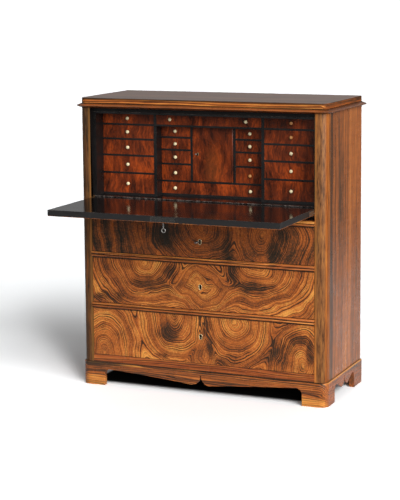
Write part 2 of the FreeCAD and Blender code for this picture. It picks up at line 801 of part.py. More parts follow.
def build_door():
    """Cupboard door with a rounded hinge edge, turning on two pins, with its lock and key."""
    half = door_half - door_gap
    radius = door_thickness / 2
    y0, y1 = recess_y, recess_y + door_thickness
    z0, z1 = recess_floor + door_gap, recess_ceiling - door_gap
    plan = outline([
        line(Vector(-half, y0, z0), Vector(half - radius, y0, z0)),
        arc(Vector(half - radius, y0, z0), Vector(half, y0 + radius, z0), Vector(half - radius, y1, z0)),
        line(Vector(half - radius, y1, z0), Vector(-half, y1, z0)),
        line(Vector(-half, y1, z0), Vector(-half, y0, z0)),
    ])
    panel = plan.extrude(Vector(0, 0, z1 - z0))
    key_x = -door_key_place
    key_z = (z0 + z1) / 2
    scale = door_key_scale
    seat, rim = keyhole_rim(y0, key_x, key_z, scale)
    way = key_way(y0 - 1, y1 + lock_wall + 1, key_x, key_z, scale)
    bores = [grown_pin(pin) for pin in door_pins()]
    save("cupboard_door", panel.cut(bores + [seat, way]))

    case = block(key_x - door_lock_width / 2, key_x + door_lock_width / 2, y1, y1 + door_lock_thickness,
                 key_z - door_lock_height / 2, key_z + door_lock_height / 2)
    room = bit_space(y1 + lock_wall, y1 + door_lock_thickness - lock_wall, key_x, key_z, scale)
    save("door_lock", case.cut([room, way]), rim)
    turned = key(door_thickness + door_lock_thickness - lock_wall - 1, scale)
    turned.translate(Vector(key_x, y0, key_z))
    save("door_key", turned)


os.makedirs("parts", exist_ok=True)
build_case()
build_plinth()
build_drawer_frame()
for place in zip(drawer_names, drawer_floors, drawer_openings, key_heights):
    build_drawer(*place)
build_fall()
build_compartment()
build_small_drawers()
build_door()
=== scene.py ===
"""Escritoire: the finish of a fall-front writing desk, laid round its packed construction.

Metres, in the frame of the construction: +Z is up, the front looks along -Y and the floor is z = 0.
"""
import json
import math
from functools import reduce

import bmesh
import bpy
import numpy as np
from mathutils import Matrix, Vector

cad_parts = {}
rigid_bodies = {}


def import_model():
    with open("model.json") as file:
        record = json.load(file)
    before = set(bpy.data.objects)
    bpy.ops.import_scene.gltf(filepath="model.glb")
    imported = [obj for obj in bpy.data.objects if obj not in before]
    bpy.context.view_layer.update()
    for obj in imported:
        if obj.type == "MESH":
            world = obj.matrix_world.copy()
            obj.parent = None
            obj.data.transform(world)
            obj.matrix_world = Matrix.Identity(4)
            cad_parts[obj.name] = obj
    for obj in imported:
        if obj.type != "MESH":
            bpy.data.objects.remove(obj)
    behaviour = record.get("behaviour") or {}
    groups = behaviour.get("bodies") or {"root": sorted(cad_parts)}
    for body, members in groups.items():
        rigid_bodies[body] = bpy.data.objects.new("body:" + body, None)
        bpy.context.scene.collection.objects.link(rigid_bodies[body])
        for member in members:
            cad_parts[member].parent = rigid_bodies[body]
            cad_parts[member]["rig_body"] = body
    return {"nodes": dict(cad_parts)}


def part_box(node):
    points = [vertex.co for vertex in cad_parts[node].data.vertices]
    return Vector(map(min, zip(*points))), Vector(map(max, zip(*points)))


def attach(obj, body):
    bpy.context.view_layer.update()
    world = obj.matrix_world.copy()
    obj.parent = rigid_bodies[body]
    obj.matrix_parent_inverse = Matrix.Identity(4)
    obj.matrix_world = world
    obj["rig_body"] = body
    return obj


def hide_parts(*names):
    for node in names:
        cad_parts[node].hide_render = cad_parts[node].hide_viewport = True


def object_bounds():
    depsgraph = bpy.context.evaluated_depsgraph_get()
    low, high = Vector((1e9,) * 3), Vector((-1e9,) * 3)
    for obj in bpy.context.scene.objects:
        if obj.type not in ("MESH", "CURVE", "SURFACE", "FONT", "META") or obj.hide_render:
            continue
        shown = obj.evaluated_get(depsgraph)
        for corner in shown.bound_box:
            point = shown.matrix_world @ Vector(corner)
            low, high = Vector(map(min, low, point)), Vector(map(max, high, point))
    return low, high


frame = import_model()
cad_low, cad_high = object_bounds()

bl_info = {
    "name": "Escritoire",
    "version": (1, 0, 0),
    "blender": (4, 5, 0),
    "location": "View3D > Sidebar > Escritoire",
    "description": "Finishes a fall-front writing desk: veneers, black nest, turned knobs, keys and stage",
    "category": "Object",
}

X, Y, Z = range(3)

# Sizes of the construction that its boxes don't give.
BACK_BOARDS = 6
RAIL_GAP = 0.0015
RAIL_HEIGHT = 0.020
VENEER = 0.0016
KNOB_LENGTH = 0.0115
SMALL_FRONT = 0.010
KEYHOLE_RADIUS = 0.0063
DOOR_KEYHOLE = -0.066
DOOR_KEY_SCALE = 0.6

# Marks of the woods per metre across their rings, and depths of the relief.
BROAD_BANDS = 34.0
THIN_LINES = 260.0
GLINTS = 210.0
PINE_STRIPES = 85.0
WOOD_RELIEF = 0.0004
SLIGHT_RELIEF = 0.0002
FINE_RELIEF = 0.0001

# Brightness of the floor where the camera sees it and where it lights the desk, as shares of its colour,
# and of the studio in reflections, as a share of its level.
FLOOR_SEEN = 1.8
FLOOR_BOUNCED = 0.18
SKY_MIRRORED = 1.85
FLOOR_REACH = 300.0
SENSOR = 36.0

COLUMN_DRAWERS = [f"{side}_drawer_{row}" for side in ("left", "right") for row in range(1, 6)]
INNER_DRAWERS = [f"inner_{side}_drawer_{row}" for side in ("left", "right") for row in range(1, 5)]
WIDE_DRAWERS = ["centre_top_drawer", "centre_bottom_drawer"]
SMALL_DRAWERS = COLUMN_DRAWERS + INNER_DRAWERS + WIDE_DRAWERS
LONG_DRAWERS = ["drawer_1", "drawer_2", "drawer_3"]
BROWN_KNOBS = ("right_drawer_1", "right_drawer_2", "inner_right_drawer_4")

# Hearts of the figure on each long front and the fall: place across in half widths and up in heights, then
# how far the rings are drawn out across and up; a last 1 makes the rings pointed.
HEARTS = {
    "drawer_1": ((0.02, 0.82, 1.0, 1.0), (0.54, 0.68, 0.85, 1.1)),
    "drawer_2": ((-0.49, 0.97, 1.2, 0.95), (0.50, 1.02, 1.15, 0.9), (0.03, 0.52, 1.25, 0.85, 1)),
    "drawer_3": ((-0.90, 0.00, 0.8, 1.3), (-0.23, 0.95, 0.75, 1.0), (0.31, 0.92, 1.0, 1.15),
                 (0.90, 0.10, 0.85, 1.2), (0.03, 0.15, 0.35, 0.9, 1)),
    "fall": ((-0.48, 0.62, 1.05, 1.0), (0.46, 0.50, 1.1, 1.0), (0.04, -0.15, 0.7, 1.1),
             (-0.03, 0.85, 0.4, 1.3, 1)),
}
# Dark clouds in the figure: place across and up as above, then half width and half height in metres.
CLOUDS = {
    "drawer_1": ((0.74, 0.70, 0.03, 0.05), (0.66, 0.30, 0.03, 0.05), (0.26, 0.35, 0.02, 0.07),
                 (-0.34, 0.6, 0.07, 0.05)),
    "drawer_2": ((-0.42, 0.48, 0.09, 0.035), (-0.27, 0.80, 0.03, 0.05), (-0.88, 0.1, 0.07, 0.03),
                 (0.45, 0.56, 0.09, 0.025), (0.29, 0.84, 0.025, 0.05)),
    "drawer_3": ((-0.27, 0.60, 0.05, 0.045), (0.05, 0.80, 0.02, 0.06), (0.09, 0.42, 0.02, 0.05),
                 (0.24, 0.10, 0.05, 0.02), (0.72, 0.38, 0.04, 0.05), (0.86, 0.68, 0.05, 0.025),
                 (-0.36, 0.1, 0.03, 0.012), (0.97, 0.48, 0.015, 0.06)),
    "fall": ((-0.47, 0.2, 0.12, 0.04), (0.47, 0.2, 0.12, 0.04), (-0.8, 0.6, 0.05, 0.1),
             (0.8, 0.6, 0.05, 0.1)),
}
# Lightness added to the figure of each long front, how it grows to the right over half the width, and the
# strength of its broad bands. On drawer_1 the low lightness is partly, and its rise to the right wholly,
# painted shade: the open fall's shadow, darkest at the left.
TONES = {"drawer_1": (-0.105, 0.065, 0.65), "drawer_2": (0.042, 0.0, 1.0), "drawer_3": (0.055, 0.0, 0.9)}


def colour(name, description, default):
    """Colour property, in linear light."""
    return bpy.props.FloatVectorProperty(name=name, description=description, default=default,
                                         subtype="COLOR", size=3, min=0.0, max=1.0)


def number(name, description, default, **options):
    """Property of one number."""
    return bpy.props.FloatProperty(name=name, description=description, default=default, **options)


def length(name, description, default):
    """Length property, in metres."""
    return number(name, description, default, min=0.0, unit="LENGTH", precision=5)


def angle(name, description, degrees):
    """Angle property, from its default in degrees."""
    return number(name, description, math.radians(degrees), subtype="ANGLE")


class EscritoireColours(bpy.types.PropertyGroup):
    """Colours of the woods and metals."""

    veneer_pale: colour("Veneer, pale", "Lightest early wood of the outside veneer", (0.69, 0.213, 0.045))
    veneer_gold: colour("Veneer, gold", "Glints of the outside veneer", (0.98, 0.43, 0.090))
    veneer_warm: colour("Veneer, warm", "Main orange brown of the outside veneer", (0.45, 0.115, 0.025))
    veneer_brown: colour("Veneer, brown", "Darker growth of the outside veneer", (0.150, 0.055, 0.021))
    veneer_black: colour("Veneer, black", "Near-black lines of the outside veneer", (0.023, 0.0175, 0.011))
    # The top's grey is a painted sheen that stands in for the reflection of the studio in the polish.
    top_sheen_grey: colour("Top, faded", "Sheen grey of the faded upper face", (0.31, 0.28, 0.27))
    ebony: colour("Ebonised wood", "Black polish of the nest and inside the fall", (0.007, 0.006, 0.006))
    ebony_worn: colour("Ebonised wood, worn", "Brown where the polish is rubbed", (0.022, 0.018, 0.015))
    flame_pale: colour("Mahogany, pale", "Bright flames of the small drawers", (0.46, 0.072, 0.011))
    flame_warm: colour("Mahogany, warm", "Main red brown of the small drawers", (0.172, 0.029, 0.007))
    flame_dark: colour("Mahogany, dark", "Dark stripes of the small drawers", (0.030, 0.007, 0.003))
    pine_pale: colour("Pine, pale", "Early wood of the inner boards", (0.68, 0.36, 0.145))
    pine_dark: colour("Pine, dark", "Late wood of the inner boards", (0.44, 0.175, 0.058))
    bone: colour("Bone", "Turned knobs", (1.0, 0.87, 0.55))
    bone_brown: colour("Bone, browned", "The few knobs that have turned brown", (0.66, 0.30, 0.10))
    brass: colour("Brass", "Locks, rims and sockets", (0.74, 0.60, 0.36))
    steel: colour("Steel", "Keys, bolts and pivots", (0.42, 0.41, 0.39))
    floor: colour("Floor", "Plain pale floor", (0.955, 0.97, 0.98))


class EscritoireSizes(bpy.types.PropertyGroup):
    """Sizes of the turned and worked pieces."""

    knob_radius: length("Knob radius", "Widest radius of a turned knob", 0.0068)
    knob_neck: length("Knob neck radius", "Radius of a knob where it meets the drawer", 0.0032)
    knob_reach: length("Knob reach", "How far a knob stands out from the drawer", 0.0122)
    rim_round: length("Rim roundness", "Half thickness of the rounded brass round a keyhole", 0.0012)
    corner_radius: length("Corner radius", "Radius of the top's front corners", 0.028)
    cornice_reach: length("Cornice reach", "How far the beak moulding stands out", 0.022)
    edge_round: length("Edge roundness", "Radius of the softened edges of the woodwork", 0.0008)


class EscritoireStage(bpy.types.PropertyGroup):
    """Camera and light."""

    yaw: angle("Yaw", "Turn of the camera to the right of the front", 23.416)
    pitch: angle("Pitch", "Angle at which the camera looks down", 7.669)
    roll: angle("Roll", "Tilt of the camera about its own axis", -0.450)
    distance: length("Distance", "From the middle of the case to the camera", 6.3546)
    slide_right: number("Slide right", "Sideways offset of the camera", -0.0846, unit="LENGTH")
    slide_up: number("Slide up", "Upward offset of the camera", 0.2065, unit="LENGTH")
    lens: number("Lens", "Focal length in millimetres", 113.16)
    shift: number("Shift", "Upward lens shift that keeps the verticals upright", -0.12)
    key: number("Key light", "Strength of the light from the right", 3.2)
    top: number("Top light", "Strength of the wide light from above", 0.1)
    fill: number("Fill light", "Strength of the light from the front", 0.95)
    rim: number("Rim light", "Strength of the light from behind", 1.0)
    sky: number("Studio level", "Brightness of the studio all round", 0.165)


class EscritoireSettings(bpy.types.PropertyGroup):
    """All settings of the desk."""

    colours: bpy.props.PointerProperty(type=EscritoireColours)
    sizes: bpy.props.PointerProperty(type=EscritoireSizes)
    stage: bpy.props.PointerProperty(type=EscritoireStage)


class Graph:
    """A material whose nodes are added by short calls that give back an output socket.

    A wood or metal sets its base colour and its relief, and further colours are painted over the base.
    """

    def __init__(self, name, attribute=None):
        self.colours = bpy.context.scene.escritoire.colours
        self.material = bpy.data.materials.new(name)
        self.material.use_nodes = True
        self.tree = self.material.node_tree
        self.tree.nodes.clear()
        self.shader = self.node("BsdfPrincipled")
        self.feed(self.node("OutputMaterial").inputs["Surface"], self.shader.outputs["BSDF"])
        self.base = None
        self.relief = None
        if attribute:
            self.settle(self.node("Attribute", attribute_name=attribute).outputs["Vector"])
        else:
            self.settle(self.node("TexCoord").outputs["Object"])

    def settle(self, place):
        """Sets the coordinates that the patterns read."""
        self.place = place
        self.grain = place
        self.x, self.y, self.z = self.node("SeparateXYZ", place).outputs

    def node(self, kind, *values, **options):
        """Adds a shader node, sets its options and feeds its inputs in order."""
        node = self.tree.nodes.new("ShaderNode" + kind)
        for name, value in options.items():
            setattr(node, name, value)
        for socket, value in zip(node.inputs, values):
            self.feed(socket, value)
        return node

    def feed(self, socket, value):
        """Links a socket to an input, or sets the input to a constant."""
        if isinstance(value, bpy.types.NodeSocket):
            self.tree.links.new(value, socket)
        else:
            socket.default_value = value

    def math(self, operation, *values):
        """One step of arithmetic."""
        return self.node("Math", *values, operation=operation).outputs[0]

    def vector(self, operation, *values):
        """One step of vector arithmetic."""
        made = self.node("VectorMath", *values, operation=operation)
        return made.outputs["Value" if operation in ("LENGTH", "DOT_PRODUCT") else "Vector"]

    def times(self, *values):
        """Product of values."""
        return reduce(lambda first, second: self.math("MULTIPLY", first, second), values)

    def most(self, *values):
        """Largest of values."""
        return reduce(lambda first, second: self.math("MAXIMUM", first, second), values)

    def off(self, value, place):
        """How far a value is from a place, either way."""
        return self.math("ABSOLUTE", self.math("SUBTRACT", value, place))

    def noise(self, place, scale, detail=2.0, roughness=0.5, output="Fac", **options):
        """Noise between 0 and 1; the Color output holds three of them."""
        made = self.node("TexNoise", **options)
        self.feed(made.inputs["W" if options else "Vector"], place)
        for name, value in (("Scale", scale), ("Detail", detail), ("Roughness", roughness)):
            made.inputs[name].default_value = value
        return made.outputs[output]

    def noise_along(self, value, scale, detail=2.0, roughness=0.5):
        """Noise of one number, for bands of uneven width."""
        return self.noise(value, scale, detail, roughness, noise_dimensions="1D")

    def streaks(self, place, stretch, scale, detail=2.0, roughness=0.5):
        """Noise drawn out along the axes: the smaller the factor of an axis, the longer."""
        return self.noise(self.vector("MULTIPLY", place, stretch), scale, detail, roughness)

    def span(self, value, low, high, to_high=1.0, to_low=0.0):
        """Smooth step of a value from one range to another, clamped."""
        made = self.node("MapRange", value, low, high, to_low, to_high, interpolation_type="SMOOTHSTEP")
        return made.outputs[0]

    def ramp(self, value, *stops):
        """Colour ramp through (place, colour) stops."""
        made = self.node("ValToRGB", value)
        elements = made.color_ramp.elements
        while len(elements) < len(stops):
            elements.new(1.0)
        for element, (at, tint) in zip(elements, stops):
            element.position = at
            element.color = (*tint, 1.0)
        return made.outputs["Color"]

    def mix(self, share, first, second, blend="MIX"):
        """Mix of two colours; a share of 1 gives the second, or with MULTIPLY their product."""
        made = self.node("Mix", data_type="RGBA", blend_type=blend)
        for index, value in ((0, share), (6, first), (7, second)):
            if index and not isinstance(value, bpy.types.NodeSocket):
                value = (*value, 1.0)
            self.feed(made.inputs[index], value)
        return made.outputs[2]

    def paint(self, share, layer):
        """Lays a colour over a share of the base colour."""
        self.base = self.mix(share, self.base, layer)

    def darken(self, share):
        """Lays the black of the veneer over a share of the base colour."""
        self.paint(share, self.colours.veneer_black)

    def stain(self, factors, share=1.0):
        """Multiplies the base colour, or a share of it."""
        self.base = self.mix(share, self.base, factors, "MULTIPLY")

    def polish(self, low, high):
        """Roughness of a hand polish, with faint smears."""
        return self.span(self.noise(self.place, 9.0, 4.0, 0.6), 0.3, 0.7, high, low)

    def finish(self, roughness, depth=WOOD_RELIEF, **constants):
        """Sends colour, roughness and relief to the shader, and sets its constants."""
        self.feed(self.shader.inputs["Base Color"], self.base)
        self.feed(self.shader.inputs["Roughness"], roughness)
        for name, value in constants.items():
            self.shader.inputs[name.replace("_", " ")].default_value = value
        if self.relief is not None:
            bump = self.node("Bump")
            for name, value in (("Strength", 0.35), ("Distance", depth), ("Height", self.relief)):
                self.feed(bump.inputs[name], value)
            self.feed(self.shader.inputs["Normal"], bump.outputs["Normal"])
        return self.material

    def lay(self, nodes, smears, gloss=0.5, depth=WOOD_RELIEF):
        """Finishes a wood with a hand polish and puts it on construction nodes."""
        give(self.finish(self.polish(*smears), depth, Specular_IOR_Level=gloss), *nodes)


def bent(graph, amount, scale, detail=2.0):
    """Coordinates pushed about by noise, so that rings and stripes wander."""
    wander = graph.noise(graph.place, scale, detail, output="Color")
    return graph.vector("MULTIPLY_ADD", wander, (amount,) * 3, graph.place)


def ellipses(graph, box, spots, amount, scale, detail=2.0):
    """Places on a bent front, measured from the middle of each spot in its two half axes.

    A spot gives its middle, across in half widths and up in heights, and its half axes. The bend pushes by
    half its amount on the average, which is made up for.
    """
    low, high = box
    place = bent(graph, amount, scale, detail)
    for across, up, wide, tall in spots:
        x = (low.x + high.x) / 2 + across * (high.x - low.x) / 2 + amount / 2
        z = low.z + up * (high.z - low.z) + amount / 2
        yield graph.vector("MULTIPLY_ADD", place, (1 / wide, 0, 1 / tall), (-x / wide, 0, -z / tall))


def heart_rings(graph, box, hearts):
    """Ring distance of a figured veneer, in metres.

    For each heart the distance is sqrt(((x - cx) / a)^2 + ((z - cz) / b)^2) on a plane bent by noise, or
    |x - cx| / a + |z - cz| / b with more noise if it is pointed. The hearts are joined by smooth minima, so
    that the rings flow round them all.
    """
    stray = 0.11
    rings = []
    for heart, spot in zip(hearts, ellipses(graph, box, [heart[:4] for heart in hearts], 0.07, 7.0)):
        if len(heart) > 4:
            wander = graph.noise(graph.place, 11.0, 0.5, output="Color")
            spot = graph.vector("SUBTRACT", spot, (stray / 2, 0.0, stray / 2))
            spot = graph.vector("MULTIPLY_ADD", wander, (stray, 0.0, stray), spot)
            rings.append(graph.vector("DOT_PRODUCT", graph.vector("ABSOLUTE", spot), (1.0, 0.0, 1.0)))
        else:
            rings.append(graph.vector("LENGTH", spot))
    return reduce(lambda first, second: graph.math("SMOOTH_MIN", first, second, 0.07), rings)


def straight_rings(graph, along, sway=0.10):
    """Ring distance of a plain veneer whose grain runs along one axis.

    It is the place across the grain, pushed about by noise that is drawn out along the grain. The graph's
    grain coordinates are drawn out in the same way.
    """
    stretch = [1.0, 1.0, 1.0]
    stretch[along] = 0.09
    graph.grain = graph.vector("MULTIPLY", graph.place, stretch)
    slow = graph.noise(graph.grain, 9.0, 3.0, 0.55)
    across = [graph.x, graph.y, graph.z]
    del across[along]
    return graph.math("MULTIPLY_ADD", slow, sway, graph.math("ADD", *across))


def weighed(graph, *terms):
    """Sum of values, each less its middle of 0.5 and times a weight, about 0.5."""
    total = 0.5 - sum(0.5 * weight for _, weight in terms)
    for value, weight in terms:
        total = graph.math("MULTIPLY_ADD", value, weight, total)
    return total


def rosewood(graph, rings, tone, lines, bands, dark=None):
    """Outside veneer, set as the base colour and the relief.

    Uneven bands, bright glints and thin dark lines follow the ring distance; clouds and slow drifts shade
    them, and flecks dot them.
    """
    colours = graph.colours
    ripple = graph.noise(graph.grain, 30.0, 1.0)
    rings = graph.math("MULTIPLY_ADD", ripple, 0.005, rings)
    broad = graph.noise_along(rings, BROAD_BANDS)
    thin = graph.noise_along(rings, THIN_LINES, 2.5, 0.62)
    glint = graph.noise_along(graph.math("ADD", rings, 3.7), GLINTS, 2.0, 0.6)
    drift = graph.noise(graph.grain, 8.0, 3.0)
    fade = graph.noise(graph.grain, 24.0)
    fleck = graph.noise(graph.grain, 170.0, 3.0, 0.7)
    level = weighed(graph, (broad, 0.75 * bands), (glint, 0.5 * bands), (drift, 0.6), (fleck, 0.5))
    cut = weighed(graph, (thin, 1.0), (fade, 0.32))
    if dark is not None:
        level = graph.math("MULTIPLY_ADD", dark, -0.12, level)
        cut = graph.math("MULTIPLY_ADD", dark, -0.13, cut)
    graph.base = graph.ramp(
        graph.math("ADD", level, tone),
        (0.18, colours.veneer_black),
        (0.32, colours.veneer_brown),
        (0.47, colours.veneer_warm),
        (0.62, colours.veneer_pale),
        (0.80, colours.veneer_gold),
    )
    graph.relief = graph.math("ADD", thin, fleck)
    graph.darken(graph.span(cut, 0.475, 0.395, lines))


def plain(graph, along, tone, lines, bands=1.0, sway=0.10):
    """Veneer with straight grain; gives back its colour too."""
    rosewood(graph, straight_rings(graph, along, sway), tone, lines, bands)
    return graph.base


def figured(graph, box, name, tone=0.0, lines=0.85, bands=1.0):
    """Veneer with hearts, darkened by the largest of soft elliptical clouds."""
    spots = ellipses(graph, box, CLOUDS[name], 0.03, 9.0)
    dark = graph.most(*[graph.span(graph.vector("LENGTH", spot), 1.6, 0.3) for spot in spots])
    rosewood(graph, heart_rings(graph, box, HEARTS[name]), tone, lines, bands, dark)


def pine(graph, along):
    """Colour of the plain inner boards: straight stripes along the grain."""
    stripes = graph.noise_along(straight_rings(graph, along), PINE_STRIPES, 3.0, 0.6)
    return graph.ramp(stripes, (0.35, graph.colours.pine_pale), (0.62, graph.colours.pine_dark))


def give(material, *nodes):
    """Puts a material into every slot of the named construction nodes."""
    for name in nodes:
        materials = frame["nodes"][name].data.materials
        materials.clear()
        materials.append(material)


def surface(points, close_rows=False, close_columns=False):
    """Vertices and quads of a grid of points; rows or columns may close on themselves."""
    rows, columns = points.shape[:2]
    index = np.arange(rows * columns).reshape(rows, columns)
    if close_rows:
        index = np.vstack([index, index[:1]])
    if close_columns:
        index = np.hstack([index, index[:, :1]])
    quads = np.stack([index[:-1, :-1], index[:-1, 1:], index[1:, 1:], index[1:, :-1]], axis=-1)
    return points.reshape(-1, 3), quads.reshape(-1, 4)


def circle(count):
    """Cosines and sines of equal steps round a circle, as columns."""
    turn = np.linspace(0, 2 * np.pi, count, endpoint=False)[:, None]
    return np.cos(turn), np.sin(turn)


def turned(profile, sides, centre, axis, across):
    """Surface of revolution: each (distance, radius) of a profile goes round the axis through a centre."""
    profile = np.asarray(profile, float)
    cosine, sine = circle(sides)
    ring = cosine * np.asarray(across, float) + sine * np.cross(axis, across)
    points = np.asarray(centre) + profile[:, None, :1] * np.asarray(axis) + profile[:, None, 1:] * ring
    return surface(points, close_columns=True)


def tube(path, normals, binormal, radius, sides):
    """Tube on a closed path: round each point goes cos times the normal plus sin times the binormal."""
    cosine, sine = circle(sides)
    ring = cosine * normals[:, None] + sine * binormal
    return surface(path[:, None] + radius * ring, close_rows=True, close_columns=True)


def link_mesh(name, patches, material):
    """Joins surfaces into one mesh of an object in the scene."""
    vertices = np.concatenate([points for points, _ in patches])
    starts = np.cumsum([0] + [len(points) for points, _ in patches[:-1]])
    quads = np.concatenate([faces + start for (_, faces), start in zip(patches, starts)])
    mesh = bpy.data.meshes.new(name)
    mesh.from_pydata(vertices.tolist(), [], quads.tolist())
    mesh.materials.append(material)
    made = bpy.data.objects.new(name, mesh)
    bpy.context.scene.collection.objects.link(made)
    return made


def make_piece(name, patches, material, body, replaces=(), grain=None):
    """Makes a smooth piece with closed poles and outward faces, and lets it ride on a body.

    Grain coordinates, if given, are kept at the points for the material.
    """
    piece = link_mesh(name, patches, material)
    mesh = piece.data
    if grain is not None:
        mesh.attributes.new("grain", "FLOAT_VECTOR", "POINT").data.foreach_set("vector", grain.ravel())
    work = bmesh.new()
    work.from_mesh(mesh)
    bmesh.ops.remove_doubles(work, verts=work.verts, dist=1e-7)
    bmesh.ops.recalc_face_normals(work, faces=work.faces)
    work.to_mesh(mesh)
    work.free()
    mesh.polygons.foreach_set("use_smooth", np.ones(len(mesh.polygons), bool))
    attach(piece, body)
    if replaces:
        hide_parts(*replaces)


def node_points(name):
    """Vertices of a construction node as an array."""
    mesh = frame["nodes"][name].data
    points = np.empty(len(mesh.vertices) * 3, np.float32)
    mesh.vertices.foreach_get("co", points)
    return points.reshape(-1, 3).astype(float)


def foremost(points, within):
    """Points that are within a distance of the one furthest to the front."""
    return points[points[:, Y] < points[:, Y].min() + within]


def body_of(node):
    """Name of the body that a construction node rides on."""
    return frame["nodes"][node]["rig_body"]


def rail_veneer():
    """Reeded rails: painted shade lies under each moulding and between its reeds, and the lowest rail is
    redder.
    """
    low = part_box("drawer_rails")[0].z
    graph = Graph("veneer_rails")
    plain(graph, X, 0.045, 0.7)
    graph.stain((0.72, 0.60, 0.62), graph.span(graph.z, low + 0.032, low + 0.028))
    # A dark joint line along the foot, then painted shade under each moulding and in the groove between its
    # reeds.
    joint_and_shade = [graph.span(graph.z, low + 0.005, low + 0.002, 0.8)]
    for name in LONG_DRAWERS:
        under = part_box(name + "_front")[1].z + RAIL_GAP
        for place in (under, under + RAIL_HEIGHT / 2):
            joint_and_shade.append(graph.span(graph.off(graph.z, place), 0.0032, 0.0012, 0.85))
    graph.darken(graph.most(*joint_and_shade))
    graph.lay(["drawer_rails"], (0.2, 0.36), 0.3)


def post_veneer():
    """Rounded posts: a bright fillet inside, a dull mottled round, painted shade on the flank, black by the
    writing space.
    """
    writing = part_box("nest_shell")[0].z
    for node, inner, tone, dulled in (("left_pilaster", 1, -0.22, 0.3), ("right_pilaster", 0, -0.03, 0.85)):
        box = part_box(node)
        front = box[0].y
        graph = Graph("veneer_" + node)
        depth = graph.off(graph.x, box[inner].x)
        plain(graph, Z, tone, 0.35, 0.7)
        # Painted shade: the flank behind the round is darkened.
        graph.stain((0.8, 0.85, 0.72), graph.span(graph.y, front + 0.008, front + 0.018))
        mottle = graph.streaks(graph.place, (1.0, 1.0, 0.13), 130.0, 4.0, 0.7)
        dull = graph.ramp(mottle, (0.34, graph.colours.veneer_black), (0.5, (0.25, 0.106, 0.038)),
                          (0.66, (0.46, 0.20, 0.052)))
        turn = graph.span(graph.y, front + 0.016, front + 0.007, dulled)
        graph.paint(graph.times(graph.span(depth, 0.006, 0.010), turn), dull)
        graph.paint(graph.span(depth, 0.012, 0.005, 0.2), graph.colours.veneer_gold)
        beside = graph.math("GREATER_THAN", graph.z, writing)
        graph.paint(graph.times(graph.math("LESS_THAN", depth, 0.0006), beside), graph.colours.ebony)
        graph.lay([node], (0.32, 0.5), 0.15)


def top_veneer():
    """Slab: painted grey sheen on top, dark ends, a front edge golden below with painted shade at its foot.
    """
    low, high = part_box("top_board")
    graph = Graph("veneer_top")
    ends = plain(graph, Y, -0.25, 0.7, sway=0.04)
    plain(graph, X, -0.04, 0.7)
    # Painted sheen: the upper face is cooled and greyed where the polish would reflect the studio.
    graph.stain((0.5, 0.6, 0.8))
    graph.paint(0.65, graph.colours.top_sheen_grey)
    painted_sheen = graph.base
    plain(graph, X, 0.03, 1.0, 1.7)
    shade = graph.span(graph.z, low.z + 0.011, low.z + 0.018, 0.75)
    # Painted shade along the foot of the front edge, in the crease where the cornice meets it.
    crease_shade = graph.span(graph.z, low.z + 0.004, low.z + 0.001, 0.8)
    graph.darken(graph.most(shade, crease_shade))
    graph.paint(graph.span(graph.math("ABSOLUTE", graph.x), high.x - 0.016, high.x - 0.003), ends)
    graph.paint(graph.math("GREATER_THAN", graph.z, high.z - 0.0009), painted_sheen)
    graph.lay(["top_board"], (0.55, 0.65), 0.06, SLIGHT_RELIEF)


def side_veneer():
    """Fine upright streaks, dark near the front, faint behind, crossed by level ripples of painted sheen."""
    graph = Graph("veneer_sides")
    plain(graph, Z, -0.02, 0.15, 0.4, 0.05)
    wander = graph.streaks(graph.place, (1.0, 1.0, 0.15), 20.0)
    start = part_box("right_side")[0].y + 0.015
    behind = graph.math("MULTIPLY_ADD", wander, 0.03, graph.math("SUBTRACT", graph.y, start))
    for place, half, share in (
        (0.018, 0.017, 0.75),
        (0.068, 0.005, 0.6),
        (0.30, 0.004, 0.25),
        (0.21, 0.003, 0.2),
    ):
        graph.darken(graph.span(graph.off(behind, place), 1.4 * half, 0.7 * half, share))
    # Level ripples of the figure, painted as faint light and dark bands of sheen.
    graph.stain(graph.span(graph.streaks(graph.place, (1.0, 1.0, 9.0), 9.0), 0.4, 0.6, 1.03, 0.94))
    graph.stain((0.96, 1.06, 1.1))
    graph.lay(["left_side", "right_side"], (0.22, 0.36))


def plinth_front_veneer():
    """Lengthwise veneer, golden at the feet, rubbed along the upper edge and stained at the upper left."""
    low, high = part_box("plinth_front")
    graph = Graph("veneer_plinth_front")
    plain(graph, X, 0.0, 0.9, 1.7)
    rubbed = graph.noise(graph.grain, 60.0, 3.0)
    edge = graph.times(graph.span(graph.z, high.z - 0.008, high.z - 0.004), graph.span(rubbed, 0.5, 0.6))
    foot = graph.span(graph.z, 0.05, 0.0, 0.25)
    graph.paint(graph.most(edge, foot), graph.colours.veneer_gold)
    stained = graph.times(
        graph.span(graph.x, low.x + 0.24, low.x + 0.10),
        graph.span(graph.z, high.z - 0.036, high.z - 0.012),
        graph.span(rubbed, 0.38, 0.58, 0.9),
    )
    graph.darken(graph.most(stained, graph.span(graph.z, high.z - 0.003, high.z - 0.001, 0.8)))
    graph.lay(["plinth_front"], (0.22, 0.36), 0.3)


def plinth_end_veneer():
    """Duller veneer with a golden line along the upper edge; lengthwise grain turns in at the corner."""
    low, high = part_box("plinth_right")
    graph = Graph("veneer_plinth_ends")
    lengthwise = plain(graph, X, 0.05, 0.6)
    plain(graph, Y, -0.07, 0.3, 0.5)
    graph.paint(graph.span(graph.z, high.z - 0.008, high.z - 0.003, 0.6), graph.colours.veneer_gold)
    graph.paint(graph.span(graph.y, low.y + 0.030, low.y + 0.004, 0.7), lengthwise)
    graph.darken(graph.span(graph.z, high.z - 0.0016, high.z - 0.0006, 0.8))
    graph.lay(["plinth_left", "plinth_right"], (0.22, 0.36))


class ESCRITOIRE_OT_case_veneer(bpy.types.Operator):
    """Veneer of the case: grain runs up the sides and posts, and along the top, rails and plinth"""

    bl_idname = "escritoire.case_veneer"
    bl_label = "Case veneer"

    def execute(self, context):
        rail_veneer()
        post_veneer()
        top_veneer()
        side_veneer()
        plinth_front_veneer()
        plinth_end_veneer()
        return {"FINISHED"}


